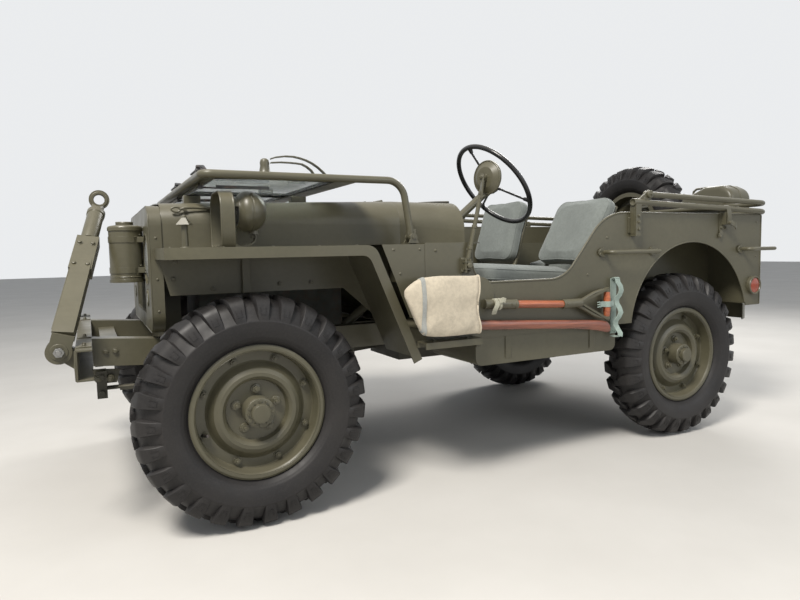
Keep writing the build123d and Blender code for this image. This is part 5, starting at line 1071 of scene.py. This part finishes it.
for side in SIDES:
    out = (0, side, 0)
    side_trim.tube(on(side, [(x, 721.0, z) for x, z in edge_line]), 4.6)
    side_trim.tube(on(side, [(x, 721.0, z) for x, z in arch]), 3.4, 8)
    side_trim.tube(on(side, [(-1455, 723, z) for z in (580, 800, 1024)]), 3.2, 8)
    side_trim.rivets(on(side, [(x, 723, z) for x, z in edge_screws]), out, 6.0)
    cowl_plate = [(485, 904), (655, 904), (548, 640), (485, 640)]
    side_trim.plate(on(side, [(x, 719.8, z) for x, z in cowl_plate]), out, 3.0)
    side_trim.rivets(on(side, [(505, 722.8, 885), (610, 722.8, 885), (585, 722.8, 800)]), out)
    side_trim.block(*on(side, [(-470, 721.0, 540), (484, 714, 546)]))
    side_trim.bolts(on(side, [(290, 730, 554), (460, 730, 554)]), UP, 5, 3, washer=0)
    # bow socket: channel with its flanges and bolts
    for x in (SOCKET_X - 17.5, SOCKET_X + 17.5):
        hardware.block(*on(side, [(x - 1.6, 723, 935), (x + 1.6, 749, 1048)]))
    hardware.bolts(on(side, [(SOCKET_X, 755.3, z) for z in (955, 985, 1012)]), out, 6.5)
    hardware.turned((-574, side * 741, 1070.3), (1, 0, 0.026), socket, caps=False)
    hardware.turned((-631, side * 741, 1106), out, [(-16, 17), (14, 17), (17, 14)])
    hardware.bolts(on(side, [(-631, 758, 1106)]), out)
    hardware.bolts(on(side, [(-600, 746.5, 1086)]), out, 6, 4)
    # bow clamp: bent strap, lever and bolts
    hardware.bolts(on(side, [(CLAMP_X + dx, 728.4, 962) for dx in (-14, 14)]), out, 6.5)
    hardware.tube(on(side, [(CLAMP_X, y, z) for y, z in clamp_strap]), 15, flat=1.8, side=AHEAD)
    lever = [(CLAMP_X, 757.5, 985), (-1166, 764, 984), (-1196, 766, 972), (-1204, 762, 958)]
    hardware.tube(on(side, lever), 11, flat=2, side=UP)
    hardware.rod(*on(side, [(CLAMP_X, 756, 984), (CLAMP_X, 770, 984)]), 8, 7, 14)
    hook = [(-1142, 727, 952), (-1142, 730, 934), (-1130, 730, 922)]
    hardware.tube(on(side, hook), 12, flat=2, side=(1, 0, 0.3))
    hardware.bolts(on(side, [(-1132, 730, 921)]), out, 7.5)
    # grab handles: flattened ends with two rivets
    for x, grow in ((-385, 24), (-677, -24), (-1301, 24)):
        oval = [(x + grow * (1.1 * cos(t) + 0.35), 728.2, 858 + 19 * sin(t)) for t in turns(20)]
        hardware.plate(on(side, oval), out, 3.0)
        hardware.rivets(on(side, [(x + grow * 0.95, 731.0, z) for z in (866, 850)]), out, 5.2)
    # steps
    hardware.bolts(on(side, [(330, 757, 554), (470, 757, 554)]), UP, 6.5, 4)
side_trim.piece("side_edges", smooth=50)
hardware.piece("side_hardware", smooth=40, soften=0.5)

# Mirror: bezel, glass, swivel bracket and its foot with bolts
glass, bezel = Form(), Form()
facing = Vector((cos(radians(15)), sin(radians(15)), 0))
centre = Vector((220, 742, 1147))
rim = [(-2.6, 58.5), (-3.0, 61), (-1.5, 63.6), (3, 64.2), (7.4, 63.4), (9.0, 61)]
bezel.turned(centre, facing, rim, 56, caps=False)
glass.turned(centre, -facing, [(0.0, 59.5), (1.2, 59.0), (1.3, 0.5)], 56, caps=False)
swivel = centre + facing * 30
bezel.rod(swivel - facing * 8, swivel + facing * 8, 11, 9, 16)
bezel.rod(swivel + Vector((0, 0, -17)), swivel + Vector((0, 0, 12)), 9, 9, 14)
bezel.bolts([swivel + facing * 6], facing, 8, 6)
neck = [swivel + Vector(step) for step in ((2, 3, 0), (10, 8, -40), (12, 6, -78))]
bezel.tube(neck, 9, flat=3, side=(0.3, 1, 0))
base = Vector((314, 737.3, 822))
up = centre + facing * 22 - base
for share in (0.18, 0.42, 0.8):
    bezel.turned(base + up * share, up, [(0, 8.2), (1, 10.4), (12, 10.4), (13, 8.2)], 20)
bezel.bolts([(314 + dx, 729.4, 822 + dz) for dz in (-21, 21) for dx in (12, -12)], LEFT, 6.5)
bezel.block((298, 729, 806), (330, 752, 812))
bezel.block((298, 729, 832), (330, 752, 838))
bezel.rod((306, 748, 800), (306, 748, 846), 5.5, 5.5, 6)
bezel.rod((324, 747, 796), (324, 747, 850), 5.5, 5.5, 6)
bezel.turned((314, 755, 822), LEFT, [(0, 12), (5, 12), (8, 8)], 6)
bezel.piece("mirror_fittings", smooth=40)
glass.piece("mirror_glass_face", "glass", "mirror_glass", smooth=60)

# Grille: slot edges, rolled flange and rivets; canister: rims, lid and straps
front = Form()
SLOT_R, SLOT_LOW, SLOT_HIGH = 15.8, 683, 977
for y in range(-176, 177, 44):
    slot = []
    for t in (*turns(24), 2 * pi):
        end = SLOT_HIGH if sin(t) >= 0 else SLOT_LOW
        slot.append((1381.6, y + SLOT_R * cos(t), end + SLOT_R * sin(t)))
    front.tube(slot, 1.8, 6)
for side in SIDES:
    rim = [(0, 87), (2.4, 88.5), (2.6, 91), (0, 93.5)]
    front.turned((1381.5, side * 296, 868), AHEAD, rim, 48, caps=False)
    outline = rounded([(60, 613.5), (428.5, 613.5), (428.5, 1050.5), (60, 1050.5)], (68, 68))
    front.tube([(1380.4, side * p.x, p.y) for p in outline], 2.6, 8)
    front.rivets([(1360, side * 430, z) for z in (690, 800, 940)], (0, side, 0))
front.piece("grille_edges", smooth=60)
can = Form()
CAN_X, CAN_Y = 1441.5, 190
for z, r in ((806, 57.0), (812, 56.2), (944, 56.2), (950, 57.0)):
    can.turned((CAN_X, CAN_Y, z), UP, [(-2.6, 55.2), (0, r), (2.6, 55.2)], 40, caps=False)
can.turned((CAN_X, CAN_Y, 985), UP, [(0, 57), (4, 55), (7, 46), (9, 32)], 40, caps=False)
can.turned((CAN_X, CAN_Y, 1003), UP, [(-1, 30.4), (2.4, 29), (3, 10), (3, 0.5)], 32, caps=False)
strap = ((55.8, -11), (57.6, -11), (57.6, 11), (55.8, 11))
for z in (830, 941):
    can.loops([
        [(CAN_X + r * cos(t), CAN_Y + r * sin(t), z + dz) for r, dz in strap]
        for t in (radians(-118 + 236 * k / 30) for k in range(31))
    ])
    can.bolts([(1395, CAN_Y + dy, z + 16) for dy in (-34, 34)], UP, 4, 3, washer=0)
can.piece("canister_fittings", smooth=45)

# Cowl: piano hinge line, instrument dials, switches, data plates left blank, and the shelf's handle
dash, dials = Form(), Form()
for y, z, r in ((-66, 996, 41), (66, 996, 23), (122, 1000, 23), (66, 936, 23), (122, 940, 23)):
    dash.turned((243.6, y, z), BACK, [(0, r + 4), (3, r + 3.6), (5, r + 1.5), (4, r)], 36, caps=False)
    dials.turned((243.4, y, z), BACK, [(0.4, r + 0.5), (1.2, r - 0.5), (1.3, 0.5)], 36, caps=False)
    dash.tube([(241.6, y, z), (241.4, y + r * 0.55, z + r * 0.5)], 1.1, 6)
    dash.turned((242, y, z), BACK, [(0, 3.4), (1.6, 2.4)], 12)
    for k in range(9):
        t = radians(225 - 33.75 * k)
        mark_y, mark_z = y + (r - 6) * cos(t), z + (r - 6) * sin(t)
        dash.block((241.4, mark_y - 0.8, mark_z - 0.8), (242.2, mark_y + 0.8, mark_z + 0.8))
knob = [(0, 9), (3, 9), (4, 4), (16, 4), (18, 9), (24, 9), (26, 5)]
for y, z in ((-120, 952), (-158, 952), (170, 952), (204, 952), (-120, 916), (0, 930)):
    dash.turned((244, y, z), BACK, knob, 16)
for y0, y1 in ((-300, -210), (-402, -320)):
    dash.block((242.6, y0, 936), (244, y1, 990))
    dash.rivets([(242.6, y, z) for y in (y0 + 5, y1 - 5) for z in (941, 985)], BACK, 2.4)
dash.tube([(242, -380, 900), (214, -380, 896), (214, -250, 896), (242, -250, 900)], 6)
dash.tube([(246, y, 1074.5 + 20 * (1 - (y / 500) ** 2)) for y in range(-500, 501, 50)], 5.0, 8)
dash.piece("dash_fittings", material="inner_dark", smooth=40)
dials.piece("dials", "black_plastic", "dial_white", smooth=60)

# Steering wheel: hub cap and spoke sleeves; column clamps and switch
boss = Form()
COLUMN_TILT = radians(38.3)
hub = Vector((-130, 290, 1177))
axis = Vector((-cos(COLUMN_TILT), 0, sin(COLUMN_TILT)))
cross = Vector(LEFT)
cap = [(-20, 30.4), (-6, 33), (-4, 29), (2, 24), (7, 22), (9, 17), (9.4, 0.5)]
boss.turned(hub, axis, cap, 36, caps=False)
for spoke in circle(Vector(), (cross, axis.cross(cross)), 1, 3, -pi / 2):
    boss.rod(hub + spoke * 182 - axis * 6, hub + spoke * 206 - axis * 1, 7.5, 11.5, 14)
    boss.rod(hub + spoke * 24 - axis * 6, hub + spoke * 48 - axis * 6, 9, 6.5, 14)
boss.piece("wheel_boss", "black_plastic", body="steering_wheel", smooth=50)
sleeve = Form()
for along in (34, 300, 520):
    sleeve.turned(hub - axis * along, -axis, [(0, 18.4), (2, 22), (26, 22), (28, 18.4)], 28, caps=False)
switch = hub - axis * 312
sleeve.rod(switch + cross * 22, switch - cross * 22, 26, 26, 24)
sleeve.piece("column_clamps", smooth=45)

# Lever gaiters, floor ribs and the ribs of the pedals' pads
inside = Form()
gaiter = [(0, 34), (4, 32), (10, 24), (14, 24), (20, 17), (24, 17), (30, 11), (34, 9)]
for x, y in ((142, -80), (142, -112), (212, 0)):
    inside.turned((x, y, 590.9), UP, gaiter)
floor_rib = ((-9, 0), (-5, 2.2), (5, 2.2), (9, 0))
for x, side in ((x, side) for x in range(-420, 190, 75) for side in SIDES):
    inside.loops([[(x + dx, side * y, 590.4 + dz) for dx, dz in floor_rib] for y in (60, 470)])
inside.piece("floor_ribs", smooth=60)
treads = Form()
toe = atan2(176.0, 192.0)
up, out = Vector((cos(toe), 0, sin(toe))), Vector((-sin(toe), 0, cos(toe)))
pedal_rib = ((-3, 0), (-2, 2.4), (2, 2.4), (3, 0))
for y, width, length in ((372, 58, 70), (226, 58, 70), (158, 34, 90)):
    place = Vector((292, y, 590)) + up * 120 + out * 116.4
    for k in range(-3, 4):
        spot = place + up * (k * length / 8)
        ends = (Vector((0, 2 - width / 2, 0)), Vector((0, width / 2 - 2, 0)))
        treads.loops([[spot + end + up * u + out * v for u, v in pedal_rib] for end in ends])
treads.piece("pedal_ribs", "black_plastic", smooth=50)

# Rear: panel edge and rivets, spare wheel nuts, carrier and can holder bolts, lamp plates and the hook's latch
rear = Form()
rear.rivets([(-1456, y, z) for y in (-600, -480, 120, 520, 640) for z in (600, 1002)], BACK, 5.5)
rear.tube([(-1453, y, 1026) for y in (-718, 0, 718)], 5)
SPARE_Y, SPARE_Z = -212, 1001
for spot in circle(Vector((-1616, SPARE_Y, SPARE_Z)), (Vector(LEFT), Vector(UP)), NUT_CIRCLE, 3, pi / 2):
    rear.turned(spot, BACK, [(14, 15), (26, 15), (30, 9), (38, 8)], 6)
rear.bolts([(-1462.4, SPARE_Y + dy, SPARE_Z + dz) for dz in (-185, -35) for dy in (-100, 100)], BACK, 8, 6)
rear.bolts([(-1460.3, 355 + dy, 737 + dz) for dz in (15, 170) for dy in (-120, 120)], BACK)
for side in SIDES:
    rear.block((-1459, side * 640 - 46, 712), (-1456.4, side * 640 + 46, 806))
    rear.bolts([(-1560, side * 345 - 1.7, 512), (-1560, side * 345 + 1.7, 546)], BACK, 7, 6)
    rear.bolts([(-1490, side * 362, 528), (-1520, side * 362, 528)], (0, side, 0), 7, 6)
hook_latch = [(-1610, -13, 588), (-1640, -12, 600), (-1668, -10, 592), (-1682, -8, 572)]
rear.tube(hook_latch, 12, flat=4, side=LEFT)
rear.rod((-1612, -20, 580), (-1612, 20, 580), 8, 8, 16)
rear.turned((-1418, 0, 536), BACK, [(14, 40), (20, 40), (26, 30), (34, 27)], 28, caps=False)
rear.bolts([(-1432.6, y, 536) for y in (-56, 56)], BACK, 9, 7)
rear.piece("rear_fittings", smooth=40, soften=0.4)

# Jerrycan: pressed shell with its cross, seam, three handles, cap and holding straps
fuel = Form()
x0, x1 = -1681.0, -1516.0
CAN_MIDDLE = (x0 + x1) / 2
crease = ((-13, -0.5), (-7, 2.6), (7, 2.6), (13, -0.5))
for hand, x in ((1, x1), (-1, x0)):
    for left, right in ((225, 485), (485, 225)):
        low, high = Vector((x, left, 770)), Vector((x, right, 1120))
        along = (high - low).normalized()
        across_it = Vector((0, -along.z, along.y))
        lift = Vector((hand, 0, 0))
        fuel.loops([[p + across_it * u + lift * v for u, v in crease] for p in (low, high)])
corners = [(520, 738), (520, 1168), (452, 1203), (352, 1203), (214, 1150), (190, 1120), (190, 738)]
seam_foot = (355, 738)
outline = rounded([seam_foot, *corners, seam_foot], (26, 70, 34, 34, 28, 24, 26), 6.0)[:-1]
middle = Vector((355, 965))
press = [(0, 0.10), (3, 0.045), (10, 0.012), (24, 0.0)]
press = [(x1 - depth, inset) for depth, inset in press] + [(x0 + depth, inset) for depth, inset in press[::-1]]
fuel.loops([[(x, *(p + (middle - p) * inset)) for p in outline] for x, inset in press])
fuel.tube([(CAN_MIDDLE, *(p + (p - middle) * 0.002)) for p in outline], 3.4, 8)
handle = ((262, 1160), (265, 1186), (284, 1199), (348, 1200.4), (366, 1198))
for dx in (-50, 0, 50):
    fuel.tube([(CAN_MIDDLE + dx, y, z) for y, z in handle], 6.4)
cap = [(0, 23), (10, 23), (12, 26), (22, 26), (25, 22), (26, 0.5)]
fuel.turned((CAN_MIDDLE, 226, 1143), (0, -0.5, 0.86), cap, 28, caps=False)
fuel.tube([(x1 + 6, 355, 760), (x1 + 6.4, 355, 980)], 13, flat=1.6, side=LEFT)
fuel.tube([(x0 - 2, 184, 900), (x0 - 3, 355, 903), (x0 - 2, 526, 900)], 12, flat=1.6, side=UP)
for y, bulge in ((186.5, -1), (523.5, 1)):
    fuel.tube([(x0, y, 900), (-1598, y + bulge, 900), (x1, y, 900)], 12, flat=1.6, side=UP)
fuel.piece("jerrycan_shell", smooth=40, replaces=("jerrycan",))

# Fuel tank: seam flange, drain and straps
tank = Form()
tank.tube([(246, 714.6, 512), (262, 714.6, 512)], 4, 8)
flange = ((0, -4), (3.2, -3), (3.2, 3), (0, 4))
tank.loops([[(x, 713.6 + dy, 566 + dz) for dy, dz in flange] for x in (-468, 262)])
for x in (-330, 110):
    strap = ((714.6, 583), (715.4, 460), (708, 436), (680, 430.4), (420, 430.4))
    tank.tube([(x, y, z) for y, z in strap], 14, flat=1.4, side=AHEAD)
    tank.bolts([(x, 716, 574)], LEFT, 6)
tank.turned((-420, 560, 432.4), (0, 0, -1), [(0, 16), (6, 16), (10, 10)], 6)
tank.piece("tank_fittings", smooth=45)

# Inner fenders: bolts, straps and stays
apron = Form()
screws = ((1310, 800), (1300, 860), (1180, 760), (1060, 770), (940, 770), (820, 770), (1180, 884), (940, 884))
for side in SIDES:
    apron.bolts([(x, side * 434.6, z) for x, z in screws], (0, side, 0), 6)
    apron.block((1050, side * 434.6, 742), (1078, side * 450, 898))
    for x in (1100, 880):
        apron.block((x - 2, side * 436, 868), (x + 2, side * 716, 898.5))
apron.piece("apron_fittings", smooth=40, soften=0.5)
